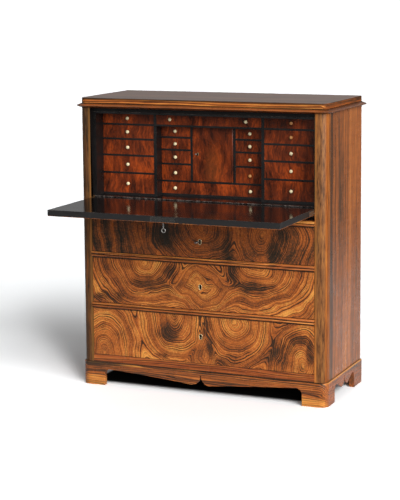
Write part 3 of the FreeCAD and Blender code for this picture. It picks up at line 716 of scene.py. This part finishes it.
class ESCRITOIRE_OT_long_fronts(bpy.types.Operator):
    """Figured veneer of the long drawers, with painted shade at their top and foot, on plain pine behind it
    """

    bl_idname = "escritoire.long_fronts"
    bl_label = "Long drawer fronts"

    def execute(self, context):
        for name in LONG_DRAWERS:
            low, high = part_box(name + "_front")
            graph = Graph("veneer_" + name)
            middle, growth, bands = TONES[name]
            # On drawer_1 the rise to the right is painted shade: the open fall's shadow, darkest at the
            # left.
            tone = graph.math("MULTIPLY_ADD", graph.x, growth / high.x, middle)
            figured(graph, (low, high), name, tone, 0.9, bands)
            # Painted shade: a dark band under the moulding above and a thin one in the gap over the rail
            # below.
            upper = graph.span(graph.z, high.z - 0.0055, high.z - 0.0025, 0.9)
            lower = graph.span(graph.z, low.z + 0.0030, low.z + 0.0010, 0.9)
            graph.darken(graph.most(upper, lower))
            ground = graph.mix(1.0, pine(graph, X), (0.72, 0.66, 0.6), "MULTIPLY")
            graph.paint(graph.math("GREATER_THAN", graph.y, low.y + VENEER), ground)
            graph.lay([name + "_front"], (0.2, 0.34), 0.2)
        return {"FINISHED"}


def lay_pine(graph, nodes):
    """Finishes bare pine and puts it on construction nodes."""
    graph.relief = graph.noise(graph.place, 300.0)
    graph.lay(nodes, (0.55, 0.75))


def back_pine():
    """Upright boards, each with its own run of grain and its own shade."""
    low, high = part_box("back_boards")
    graph = Graph("pine_back")
    across = graph.math("MULTIPLY_ADD", graph.x, BACK_BOARDS / (high.x - low.x), BACK_BOARDS / 2)
    board = graph.math("FLOOR", across)
    shift = graph.node("CombineXYZ", graph.times(board, 0.31), 0.0, graph.times(board, 0.73)).outputs[0]
    graph.settle(graph.vector("ADD", graph.place, shift))
    graph.base = pine(graph, Z)
    graph.stain(graph.span(graph.noise_along(board, 7.3, 0.0), 0.3, 0.7, 1.05, 0.72))
    graph.darken(graph.span(graph.off(graph.math("FRACT", across), 0.5), 0.488, 0.496, 0.9))
    lay_pine(graph, ["back_boards"])


class ESCRITOIRE_OT_pine_boards(bpy.types.Operator):
    """Plain pine of the boards inside and behind"""

    bl_idname = "escritoire.pine_boards"
    bl_label = "Pine boards"

    def execute(self, context):
        for name, along, nodes in (
            ("pine_lengthwise", X, ["bottom_board", "dust_boards", "plinth_back"]),
            ("pine_depthwise", Y, ["drawer_guides", *[name + "_box" for name in LONG_DRAWERS]]),
            ("pine_upright", Z, ["corner_blocks"]),
        ):
            graph = Graph(name)
            graph.base = pine(graph, along)
            lay_pine(graph, nodes)
        back_pine()
        return {"FINISHED"}


def black_polish(graph):
    """Black polish that is rubbed brown in small places, set as the base colour and the relief."""
    rubbed = graph.noise(graph.place, 35.0, 5.0, 0.7)
    graph.base = graph.mix(graph.span(rubbed, 0.48, 0.8, 0.8), graph.colours.ebony, graph.colours.ebony_worn)
    graph.relief = graph.noise(graph.place, 400.0)


def fall_finish():
    """Black polish inside, duller edges and figured veneer outside; lying down, its height runs along -Y."""
    low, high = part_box("fall_board")
    graph = Graph("ebony_fall")
    lying = graph.place
    outside = graph.math("LESS_THAN", graph.z, low.z + 0.0015)
    level = graph.off(graph.z, (low.z + high.z) / 2)
    edge = graph.math("LESS_THAN", level, (high.z - low.z) / 2 - 0.0012)
    graph.settle(graph.node("CombineXYZ", graph.x, graph.z, graph.times(graph.y, -1.0)).outputs[0])
    figured(graph, (Vector((low.x, 0, -high.y)), Vector((high.x, 0, -low.y))), "fall")
    veneer = graph.base
    graph.settle(lying)
    black_polish(graph)
    graph.paint(outside, veneer)
    rough = graph.math("MULTIPLY_ADD", edge, 0.35, graph.polish(0.08, 0.16))
    give(graph.finish(rough, FINE_RELIEF), "fall_board")


class ESCRITOIRE_OT_ebonised(bpy.types.Operator):
    """Black polish of the nest, the floor and the inside of the fall, with veneer on the fall's outside"""

    bl_idname = "escritoire.ebonised"
    bl_label = "Ebonised woodwork"

    def execute(self, context):
        for name, node, smears, gloss in (
            ("ebony_nest", "nest_shell", (0.25, 0.42), 0.45),
            ("ebony_dividers", "nest_dividers", (0.25, 0.42), 0.45),
            ("ebony_rails", "head_rails", (0.3, 0.45), 0.2),
            ("ebony_floor", "desk_floor", (0.1, 0.2), 0.45),
        ):
            graph = Graph(name)
            black_polish(graph)
            graph.lay([node], smears, gloss, SLIGHT_RELIEF)
        fall_finish()
        return {"FINISHED"}


def flame(graph, shade, contrast):
    """Mahogany with upright flames, set as the base colour and the relief.

    The flames are noise drawn out along Z on a bent plane, crossed by fine stripes.
    """
    place = bent(graph, 0.06, 9.0, 3.0)
    slow = graph.streaks(place, (1.0, 1.0, 0.3), 34.0, 4.0, 0.6)
    fine = graph.streaks(place, (1.0, 1.0, 0.08), 230.0, 3.0, 0.6)
    patch = graph.streaks(graph.place, (1.0, 1.0, 0.5), 11.0)
    tone = weighed(graph, (slow, 0.95 * contrast), (fine, 0.65 * contrast), (patch, 0.4 * contrast))
    graph.base = graph.ramp(graph.math("ADD", tone, shade), (0.30, graph.colours.flame_dark),
                            (0.5, graph.colours.flame_warm), (0.70, graph.colours.flame_pale))
    graph.relief = fine


def door_leaf():
    """Darker leaf with a bright tongue of flame low in the middle."""
    low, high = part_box("cupboard_door")
    graph = Graph("mahogany_door")
    spot = (0.0, 0.055 / (high.z - low.z), 0.055, 0.12)
    tongue, = ellipses(graph, (low, high), [spot], 0.05, 14.0, 3.0)
    glow = graph.span(graph.vector("LENGTH", tongue), 1.1, 0.1)
    flame(graph, graph.math("MULTIPLY_ADD", glow, 0.10, -0.065), 0.75)
    graph.paint(graph.times(glow, 0.2), (0.33, 0.10, 0.02))
    graph.lay(["cupboard_door"], (0.22, 0.38), 0.25)


class ESCRITOIRE_OT_small_drawers(bpy.types.Operator):
    """Flame mahogany of the small drawers and the cupboard door, with pine boxes behind the fronts"""

    bl_idname = "escritoire.small_drawers"
    bl_label = "Small drawers and door"

    def execute(self, context):
        for row, nodes in (
            ("columns", COLUMN_DRAWERS + ["centre_top_drawer"]),
            ("recess", INNER_DRAWERS + ["centre_bottom_drawer"]),
        ):
            graph = Graph("mahogany_" + row)
            flame(graph, -0.015, 0.85)
            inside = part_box(nodes[0])[0].y + KNOB_LENGTH + SMALL_FRONT
            graph.paint(graph.math("GREATER_THAN", graph.y, inside), pine(graph, Y))
            graph.lay(nodes, (0.22, 0.38), 0.25)
        door_leaf()
        return {"FINISHED"}


def worn(name, pattern, tints, share, rough, **constants):
    """Material that turns from one colour to another in patches, which change its roughness and relief too.

    The pattern is the stretch and the noise of the patches; the share is where the second colour starts and
    where it is full.
    """
    graph = Graph(name)
    patches = graph.streaks(graph.place, *pattern)
    graph.base = graph.mix(graph.span(patches, *share), *tints)
    graph.relief = patches
    return graph.finish(graph.span(patches, *rough), FINE_RELIEF, **constants)


def aged_metal(name, tint, left=0.35):
    """Metal that has dulled in patches, down to a share of its brightness."""
    pattern = ((1.0, 1.0, 1.0), 220.0, 4.0, 0.65)
    tints = (tint, np.multiply(tint, left))
    return worn(name, pattern, tints, (0.45, 0.7), (0.35, 0.7, 0.5, 0.25), Metallic=1.0)


class ESCRITOIRE_OT_metalwork(bpy.types.Operator):
    """Brass of the locks and sockets, and steel of the bolts and pivots"""

    bl_idname = "escritoire.metalwork"
    bl_label = "Metalwork"

    def execute(self, context):
        colours = context.scene.escritoire.colours
        locks = [name + "_lock" for name in LONG_DRAWERS]
        give(aged_metal("tarnished_brass", np.multiply(colours.brass, 0.05)), "door_lock", *locks)
        give(aged_metal("dull_plate", np.multiply(colours.steel, 0.3)), "fall_lock", "fall_bolt")
        give(aged_metal("aged_brass", colours.brass), "pivot_fittings")
        give(aged_metal("aged_steel", colours.steel), "fall_pivots", "drawer_1_bolt")
        return {"FINISHED"}


def cornice_path(slab, radius):
    """Line round the slab and the way out from it, for the left half and then its mirror image.

    It comes forward along the side, turns by a quarter circle at the corner and runs along the front.
    """
    low, high = slab
    turn = np.linspace(0, np.pi / 2, 13)
    facing = np.stack([-np.cos(turn), -np.sin(turn)], 1)
    corner = radius * facing + [low.x + radius, low.y + radius]
    side = np.linspace(high.y, low.y + radius, 12)[:-1]
    flank = np.stack([np.full_like(side, low.x), side], 1)
    half = np.vstack([flank, corner])
    half_out = np.vstack([np.tile([-1.0, 0.0], (len(side), 1)), facing])
    front = np.linspace(corner[-1, 0], -corner[-1, 0], 40)[1:-1]
    middle = np.stack([front, np.full_like(front, low.y)], 1)
    path = np.vstack([half, middle, half[::-1] * [-1, 1]])
    out = np.vstack([half_out, np.tile([0.0, -1.0], (len(front), 1)), half_out[::-1] * [-1, 1]])
    return np.pad(path, ((0, 0), (0, 1))), np.pad(out, ((0, 0), (0, 1)))


def cornice_surface(sizes):
    """Beak carried along the cornice's path, the path's length and the grain coordinates at its points.

    At a height of t from 0 to 1 the beak stands out by the reach times 1 - |2t - 1|^1.3; its back is
    straight. Each end is closed at its middle. The grain runs along the path and round the profile.
    """
    low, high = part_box("cornice_moulding")
    path, outward = cornice_path(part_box("top_board"), sizes.corner_radius)
    rise = np.linspace(0, 1, 25)
    out = sizes.cornice_reach * (1 - np.abs(2 * rise - 1) ** 1.3)
    back = np.linspace(1, 0, 5)[1:-1]
    rise = np.concatenate([rise, back])
    out = np.concatenate([out, np.zeros_like(back)])
    up = low.z + (high.z - low.z) * rise
    points = path[:, None] + outward[:, None] * out[None, :, None]
    points[:, :, Z] = up
    ends = [np.repeat(row.mean(0)[None, None], points.shape[1], 1) for row in (points[0], points[-1])]
    points = np.concatenate([ends[0], points, ends[1]])
    steps = np.linalg.norm(np.diff(path, axis=0), axis=1)
    along = np.concatenate([[0, 0], np.cumsum(steps), [steps.sum()]])
    around = np.cumsum(np.hypot(np.diff(out, prepend=0.0), np.diff(up, prepend=up[0])))
    grain = np.stack(np.broadcast_arrays(along[:, None], around[None], 0.0), axis=-1)
    return surface(points, close_columns=True), steps.sum(), grain.reshape(-1, 3)


class ESCRITOIRE_OT_cornice(bpy.types.Operator):
    """Beak moulding under the top with rounded flanks, led round both front corners, darker at the sides"""

    bl_idname = "escritoire.cornice"
    bl_label = "Cornice"

    def execute(self, context):
        low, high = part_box("cornice_moulding")
        patch, whole, grain = cornice_surface(context.scene.escritoire.sizes)
        graph = Graph("veneer_cornice", "grain")
        plain(graph, X, -0.11, 0.9, 1.5, 0.03)
        start = high.y - low.y + 0.01
        end = whole - start
        sides = graph.most(graph.span(graph.x, start, start - 0.04), graph.span(graph.x, end, end + 0.04))
        graph.stain((0.45, 0.48, 0.55), sides)
        wood = graph.finish(graph.polish(0.22, 0.36), Specular_IOR_Level=0.3)
        make_piece("cornice", [patch], wood, "case", ["cornice_moulding"], grain)
        return {"FINISHED"}


def key_patches(origin, axis, inner, outer, scale):
    """Shank turned about the axis, bow swept round an oval, and bit; inner and outer are the reaches."""
    flat = np.array((1.0, 0.0, 0.0))
    across = np.cross(axis, flat)
    radius = 0.0022 * scale
    wire = 0.0019 * scale
    ring = 0.0074 * scale
    neck = outer - 2 * ring - wire
    shank = [(-inner, 0.0), (-inner, 0.8 * radius), (-inner + 0.3 * radius, radius)]
    shank += [(neck - 0.009 * scale, radius)]
    turn = np.linspace(0, np.pi, 9)
    for collar in (0.008, 0.0056):
        middle = neck - collar * scale
        shank += [(middle - 0.0011 * scale * np.cos(a), radius * (1 + 0.6 * np.sin(a))) for a in turn]
    shank += [(neck - 0.003 * scale, 0.85 * radius), (neck, 0.9 * radius), (neck, 0.0)]
    cosine, sine = circle(48)
    oval = origin + axis * (neck + ring) + ring * cosine * axis + 1.05 * ring * sine * flat
    bow = tube(oval, cosine * axis + sine * flat, across, wire, 14)
    bit = key_bit(origin - axis * inner, axis, flat, across, scale)
    return [turned(shank, 20, origin, axis, flat), bow, bit]


def key_bit(tip, axis, flat, across, scale):
    """Superellipse of power 6 in the plane of axis and flat, with its edge rounded through the thickness."""
    wide = 0.0038 * scale
    tall = 0.0025 * scale
    thick = 0.0012 * scale
    cosine, sine = [np.sign(value) * np.abs(value) ** (1 / 3) for value in circle(40)]
    level = np.linspace(-np.pi / 2, np.pi / 2, 9)
    height = thick * np.sign(np.sin(level)) * np.abs(np.sin(level)) ** 0.5
    shrink = np.abs(np.cos(level)) ** 0.2
    shrink[[0, -1]] = 0.0
    middle = tip + axis * 0.0035 * scale + flat * wide
    plane = wide * cosine * flat + tall * sine * axis
    points = middle + shrink[:, None, None] * plane + height[:, None, None] * across
    return surface(points, close_columns=True)


class ESCRITOIRE_OT_keys(bpy.types.Operator):
    """Keys with an oval bow, a collared shank and a bit"""

    bl_idname = "escritoire.keys"
    bl_label = "Keys"

    def execute(self, context):
        steel = aged_metal("key_steel", context.scene.escritoire.colours.steel)
        for node, front, along, scale in (
            ("fall_key", "fall_board", Z, 1.0),
            ("drawer_1_key", "drawer_1_front", Y, 1.0),
            ("door_key", "cupboard_door", Y, DOOR_KEY_SCALE),
        ):
            low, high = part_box(node)
            origin = np.array((low + high) / 2)
            origin[along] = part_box(front)[0][along]
            inner = high[along] - origin[along]
            outer = origin[along] - low[along]
            patches = key_patches(origin, -np.eye(3)[along], inner, outer, scale)
            make_piece(node + "_turned", patches, steel, body_of(node), [node])
        return {"FINISHED"}


def keyhole_middle(lock, front, along, x, scale):
    """Middle of the keyhole's round on a front: the foremost points of the lock's node are its rim."""
    points = node_points(lock)
    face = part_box(front)[0]
    radius = KEYHOLE_RADIUS * scale
    if along == Z:
        below = points[points[:, Z] < face.z]
        return np.array((x, below[:, Y].min() + radius, face.z))
    return np.array((x, face.y, foremost(points, 0.0002)[:, Z].max() - radius))


def keyhole_rim(centre, along, thick, scale):
    """Half-round bead: an ellipse swept along a keyhole's offset outline, a circle over a narrower slot."""
    large = 0.0078 * scale - thick
    small = 0.0064 * scale - thick
    drop = 0.0088 * scale
    bend = np.arccos(small / large)
    upper = np.linspace(-bend, np.pi + bend, 33)
    lower = np.linspace(np.pi, 2 * np.pi, 17)
    x = np.concatenate([large * np.cos(upper), small * np.cos(lower)])[:, None]
    z = np.concatenate([large * np.sin(upper), small * np.sin(lower) - drop])[:, None]
    tangent = np.hstack([np.roll(value, -1) - np.roll(value, 1) for value in (x, z)])
    tangent /= np.linalg.norm(tangent, axis=1)[:, None]
    right = np.array((1.0, 0.0, 0.0))
    up = np.array((0.0, 0.0, 1.0) if along == Y else (0.0, -1.0, 0.0))
    normals = tangent[:, 1:] * right - tangent[:, :1] * up
    return tube(centre + x * right + z * up, normals, -0.6 * np.eye(3)[along], thick, 12)


class ESCRITOIRE_OT_rims(bpy.types.Operator):
    """Rounded brass rims of the keyholes"""

    bl_idname = "escritoire.rims"
    bl_label = "Keyhole rims"

    def execute(self, context):
        settings = context.scene.escritoire
        brass = aged_metal("rim_brass", np.minimum(1.0, np.multiply(settings.colours.brass, 1.2)), 0.75)
        for name, front, along, x, scale in (
            *[(name, name + "_front", Y, 0.0, 1.0) for name in LONG_DRAWERS],
            ("fall", "fall_board", Z, 0.0, 1.0),
            ("door", "cupboard_door", Y, DOOR_KEYHOLE, DOOR_KEY_SCALE),
        ):
            centre = keyhole_middle(name + "_lock", front, along, x, scale)
            patch = keyhole_rim(centre, along, settings.sizes.rim_round * scale, scale)
            make_piece(name + "_rim", [patch], brass, body_of(name + "_lock"))
        return {"FINISHED"}


def bone(name, tint):
    """Bone that is yellowed in specks drawn out along the knob."""
    pattern = ((1.0, 0.25, 1.0), 700.0, 3.0)
    tints = (tint, np.multiply(tint, (0.86, 0.8, 0.66)))
    return worn(name, pattern, tints, (0.45, 0.7), (0.3, 0.7, 0.4, 0.25))


def knob_tips(node):
    """Middle of the end of each knob, from the foremost points of the drawer; a wide drawer has two."""
    ends = foremost(node_points(node), 0.0005)
    left = ends[:, X] < ends[:, X].mean()
    sides = [ends[left], ends[~left]] if node in WIDE_DRAWERS else [ends]
    return [(side.min(0) + side.max(0)) / 2 for side in sides]


def knob(tip, sizes):
    """Turned outline: a straight neck, a cove that opens by a quarter ellipse, and a dome of another one."""
    neck, rim, reach = sizes.knob_neck, sizes.knob_radius, sizes.knob_reach
    foot = 0.0020
    shoulder = 0.0056
    brow = 0.0083
    swell = 0.00015
    cove = np.linspace(0, np.pi / 2, 8)
    dome = np.linspace(0, np.pi / 2, 14)
    outline = np.vstack([
        [[0.0, neck]],
        np.stack([foot + (shoulder - foot) * np.sin(cove), neck + (rim - neck) * (1 - np.cos(cove))], 1),
        [[(shoulder + brow) / 2, rim + swell]],
        np.stack([brow + (reach - brow) * np.sin(dome), rim * np.cos(dome)], 1),
    ])
    return turned(outline, 28, tip + [0.0, KNOB_LENGTH, 0.0], (0, -1, 0), (1, 0, 0))


class ESCRITOIRE_OT_knobs(bpy.types.Operator):
    """Turned bone knobs of the small drawers, over the plain ones of the construction"""

    bl_idname = "escritoire.knobs"
    bl_label = "Turned knobs"

    def execute(self, context):
        settings = context.scene.escritoire
        white = bone("bone", settings.colours.bone)
        brown = bone("bone_browned", settings.colours.bone_brown)
        for node in SMALL_DRAWERS:
            patches = [knob(tip, settings.sizes) for tip in knob_tips(node)]
            material = brown if node in BROWN_KNOBS else white
            make_piece(node + "_knob", patches, material, body_of(node))
        return {"FINISHED"}


def soften(node, width, slot=-1):
    """Joins the facets of a node, then rounds its sharp edges; the rounds may take a material slot."""
    modifiers = frame["nodes"][node].modifiers
    modifiers.new("weld", "WELD").merge_threshold = 1e-5
    flat = modifiers.new("flat", "DECIMATE")
    flat.decimate_type = "DISSOLVE"
    flat.angle_limit = math.radians(0.5)
    bevel = modifiers.new("round", "BEVEL")
    bevel.width = width
    bevel.segments = 2
    bevel.limit_method = "ANGLE"
    bevel.angle_limit = math.radians(40)
    bevel.harden_normals = True
    bevel.material = slot


class ESCRITOIRE_OT_soft_edges(bpy.types.Operator):
    """Rounds the sharp edges of the woodwork; on the black parts the rounds are rubbed through and painted
    as highlight
    """

    bl_idname = "escritoire.soft_edges"
    bl_label = "Soft edges"

    def execute(self, context):
        settings = context.scene.escritoire
        width = settings.sizes.edge_round
        for share, nodes in (
            (1.6, ("top_board", "plinth_front", "plinth_left", "plinth_right")),
            (1.0, ("left_pilaster", "right_pilaster", "left_side", "right_side")),
            (1.0, ("drawer_rails", "cupboard_door")),
            (0.8, [name + "_front" for name in LONG_DRAWERS]),
        ):
            for node in nodes:
                soften(node, share * width)
        # Paler rounds on the black parts: partly polish rubbed through, partly painted highlight where edges
        # catch light.
        pattern = ((1.0, 1.0, 1.0), 120.0, 4.0, 0.65)
        tints = (settings.colours.ebony_worn, (0.30, 0.25, 0.22))
        rubbed = worn("ebony_edge", pattern, tints, (0.42, 0.66), (0.3, 0.7, 0.45, 0.25))
        for share, node in (
            (1.3, "fall_board"),
            (1.5, "desk_floor"),
            (0.7, "nest_shell"),
            (0.7, "nest_dividers"),
            (1.0, "head_rails"),
        ):
            frame["nodes"][node].data.materials.append(rubbed)
            soften(node, share * width, 1)
        return {"FINISHED"}


def under_case(graph):
    """Share of deep shade on the floor: 1 well within the plinth, falling to 0 short of its outer faces."""
    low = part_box("plinth_left")[0]
    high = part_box("plinth_right")[1]
    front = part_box("plinth_front")[0].y
    return graph.times(
        graph.span(graph.x, low.x + 0.005, low.x + 0.03),
        graph.span(graph.x, high.x - 0.03, high.x - 0.09),
        graph.span(graph.y, front + 0.035, front + 0.08),
        graph.span(graph.y, high.y - 0.005, high.y - 0.03),
    )


def beside_case(graph):
    """Share of shade behind and to the left: it starts at the left foot, widens and fades along a slant."""
    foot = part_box("plinth_left")[0]
    away = graph.vector("SUBTRACT", graph.place, (foot.x, foot.y, 0.0))
    along = graph.vector("DOT_PRODUCT", away, (-0.67, 0.74, 0.0))
    across = graph.vector("DOT_PRODUCT", away, (0.74, 0.67, 0.0))
    wide = graph.math("ADD", graph.most(along, 0.0), 0.25)
    return graph.times(
        graph.span(graph.math("DIVIDE", across, wide), -0.05, 0.13, 0.5),
        graph.span(along, 2.4, 0.2),
        graph.span(along, -0.5, 0.15),
        graph.span(across, 1.2, 0.8),
        graph.span(graph.y, foot.y, foot.y + 0.1),
    )


def make_floor(tint):
    """Level floor beyond the horizon of the view: white to the camera, dim to light, pale in the polish."""
    graph = Graph("floor_paper")
    faint = graph.span(graph.noise(graph.place, 2.0), 0.3, 0.7)
    bright = np.multiply(tint, FLOOR_SEEN)
    seen = graph.mix(faint, bright, 0.98 * bright)
    seen = graph.mix(graph.most(under_case(graph), beside_case(graph)), seen, (0.01, 0.01, 0.01))
    bounced = np.multiply(tint, FLOOR_BOUNCED)
    mirrored = graph.mix(graph.span(graph.vector("LENGTH", graph.place), 5.0, 1.5), bounced, tint)
    path = graph.node("LightPath").outputs
    graph.base = graph.mix(path["Is Glossy Ray"], bounced, mirrored)
    graph.paint(path["Is Camera Ray"], seen)
    paper = graph.finish(1.0, Specular_IOR_Level=0.0)
    ys, xs = np.meshgrid(*[np.linspace(-FLOOR_REACH, FLOOR_REACH, 3)] * 2, indexing="ij")
    link_mesh("floor", [surface(np.stack([xs, ys, np.zeros_like(xs)], axis=-1))], paper)


def make_lights(scene, stage):
    """A soft key from the right, light from above, in front and behind, and an even studio all round."""
    for name, strength, spread, towards in (
        ("key", stage.key, 46.0, (0.76, -0.532, 0.375)),
        ("top", stage.top, 80.0, (0.0, 0.0, 1.0)),
        ("fill", stage.fill, 60.0, (0.25, -0.96, 0.12)),
        ("rim", stage.rim, 60.0, (-0.3, 0.95, 0.1)),
    ):
        lamp = bpy.data.lights.new(name, "SUN")
        lamp.energy = strength
        lamp.angle = math.radians(spread)
        light = bpy.data.objects.new(name, lamp)
        light.visible_glossy = name != "rim"
        light.rotation_euler = Vector(towards).to_track_quat("Z", "Y").to_euler()
        scene.collection.objects.link(light)
    world = bpy.data.worlds.new("studio")
    world.use_nodes = True
    tree = world.node_tree
    ray = tree.nodes.new("ShaderNodeLightPath").outputs
    level = tree.nodes["Background"].inputs["Color"]
    for shade, kind in ((1.0, "Is Camera Ray"), (SKY_MIRRORED * stage.sky, "Is Glossy Ray")):
        even = tree.nodes.new("ShaderNodeMix")
        even.data_type = "RGBA"
        even.inputs[6].default_value = (stage.sky, stage.sky, stage.sky, 1.0)
        even.inputs[7].default_value = (shade, shade, shade, 1.0)
        tree.links.new(ray[kind], even.inputs[0])
        tree.links.new(even.outputs[2], level)
        level = even.inputs[6]
    scene.world = world


def make_camera(scene, stage):
    """Camera turned about the middle of the case, then slid and rolled in its own plane."""
    lens = bpy.data.cameras.new("camera")
    lens.sensor_width = SENSOR
    lens.lens = stage.lens
    lens.shift_y = stage.shift
    lens.clip_end = 1000.0
    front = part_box("left_pilaster")[0].y
    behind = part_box("right_side")[1].y
    middle = Vector((0.0, (front + behind) / 2, cad_high.z / 2))
    yaw, pitch, roll = stage.yaw, stage.pitch, stage.roll
    back = Vector((math.sin(yaw) * math.cos(pitch), -math.cos(yaw) * math.cos(pitch), math.sin(pitch)))
    right = Vector((math.cos(yaw), math.sin(yaw), 0.0))
    up = back.cross(right)
    turned_right = math.cos(roll) * right + math.sin(roll) * up
    turned_up = -math.sin(roll) * right + math.cos(roll) * up
    camera = bpy.data.objects.new("camera", lens)
    camera.matrix_world = Matrix((turned_right, turned_up, back)).transposed().to_4x4()
    camera.location = middle + back * stage.distance + right * stage.slide_right + up * stage.slide_up
    scene.collection.objects.link(camera)
    scene.camera = camera


class ESCRITOIRE_OT_stage(bpy.types.Operator):
    """Pale floor, soft lights, even studio and the camera"""

    bl_idname = "escritoire.stage"
    bl_label = "Stage"

    def execute(self, context):
        scene = context.scene
        make_floor(scene.escritoire.colours.floor)
        make_lights(scene, scene.escritoire.stage)
        make_camera(scene, scene.escritoire.stage)
        scene.view_settings.view_transform = "Standard"
        return {"FINISHED"}


class ESCRITOIRE_PT_panel(bpy.types.Panel):
    """Lists the steps that finish the desk"""

    bl_label = "Escritoire"
    bl_idname = "ESCRITOIRE_PT_panel"
    bl_space_type = "VIEW_3D"
    bl_region_type = "UI"
    bl_category = "Escritoire"

    def draw(self, context):
        for step in STEPS:
            self.layout.operator(step.bl_idname)


GROUPS = (EscritoireColours, EscritoireSizes, EscritoireStage, EscritoireSettings)
STEPS = (
    ESCRITOIRE_OT_case_veneer,
    ESCRITOIRE_OT_long_fronts,
    ESCRITOIRE_OT_pine_boards,
    ESCRITOIRE_OT_ebonised,
    ESCRITOIRE_OT_small_drawers,
    ESCRITOIRE_OT_metalwork,
    ESCRITOIRE_OT_cornice,
    ESCRITOIRE_OT_keys,
    ESCRITOIRE_OT_rims,
    ESCRITOIRE_OT_knobs,
    ESCRITOIRE_OT_soft_edges,
    ESCRITOIRE_OT_stage,
)


def register():
    """Registers the settings, the steps and the panel."""
    for part in (*GROUPS, *STEPS, ESCRITOIRE_PT_panel):
        bpy.utils.register_class(part)
    bpy.types.Scene.escritoire = bpy.props.PointerProperty(type=EscritoireSettings)


def unregister():
    """Takes the settings, the steps and the panel out again."""
    del bpy.types.Scene.escritoire
    for part in reversed((*GROUPS, *STEPS, ESCRITOIRE_PT_panel)):
        bpy.utils.unregister_class(part)


def main():
    """Registers the settings, the steps and the panel, and runs every step in order."""
    register()
    for step in STEPS:
        family, name = step.bl_idname.split(".")
        getattr(getattr(bpy.ops, family), name)()


if __name__ == "__main__":
    main()
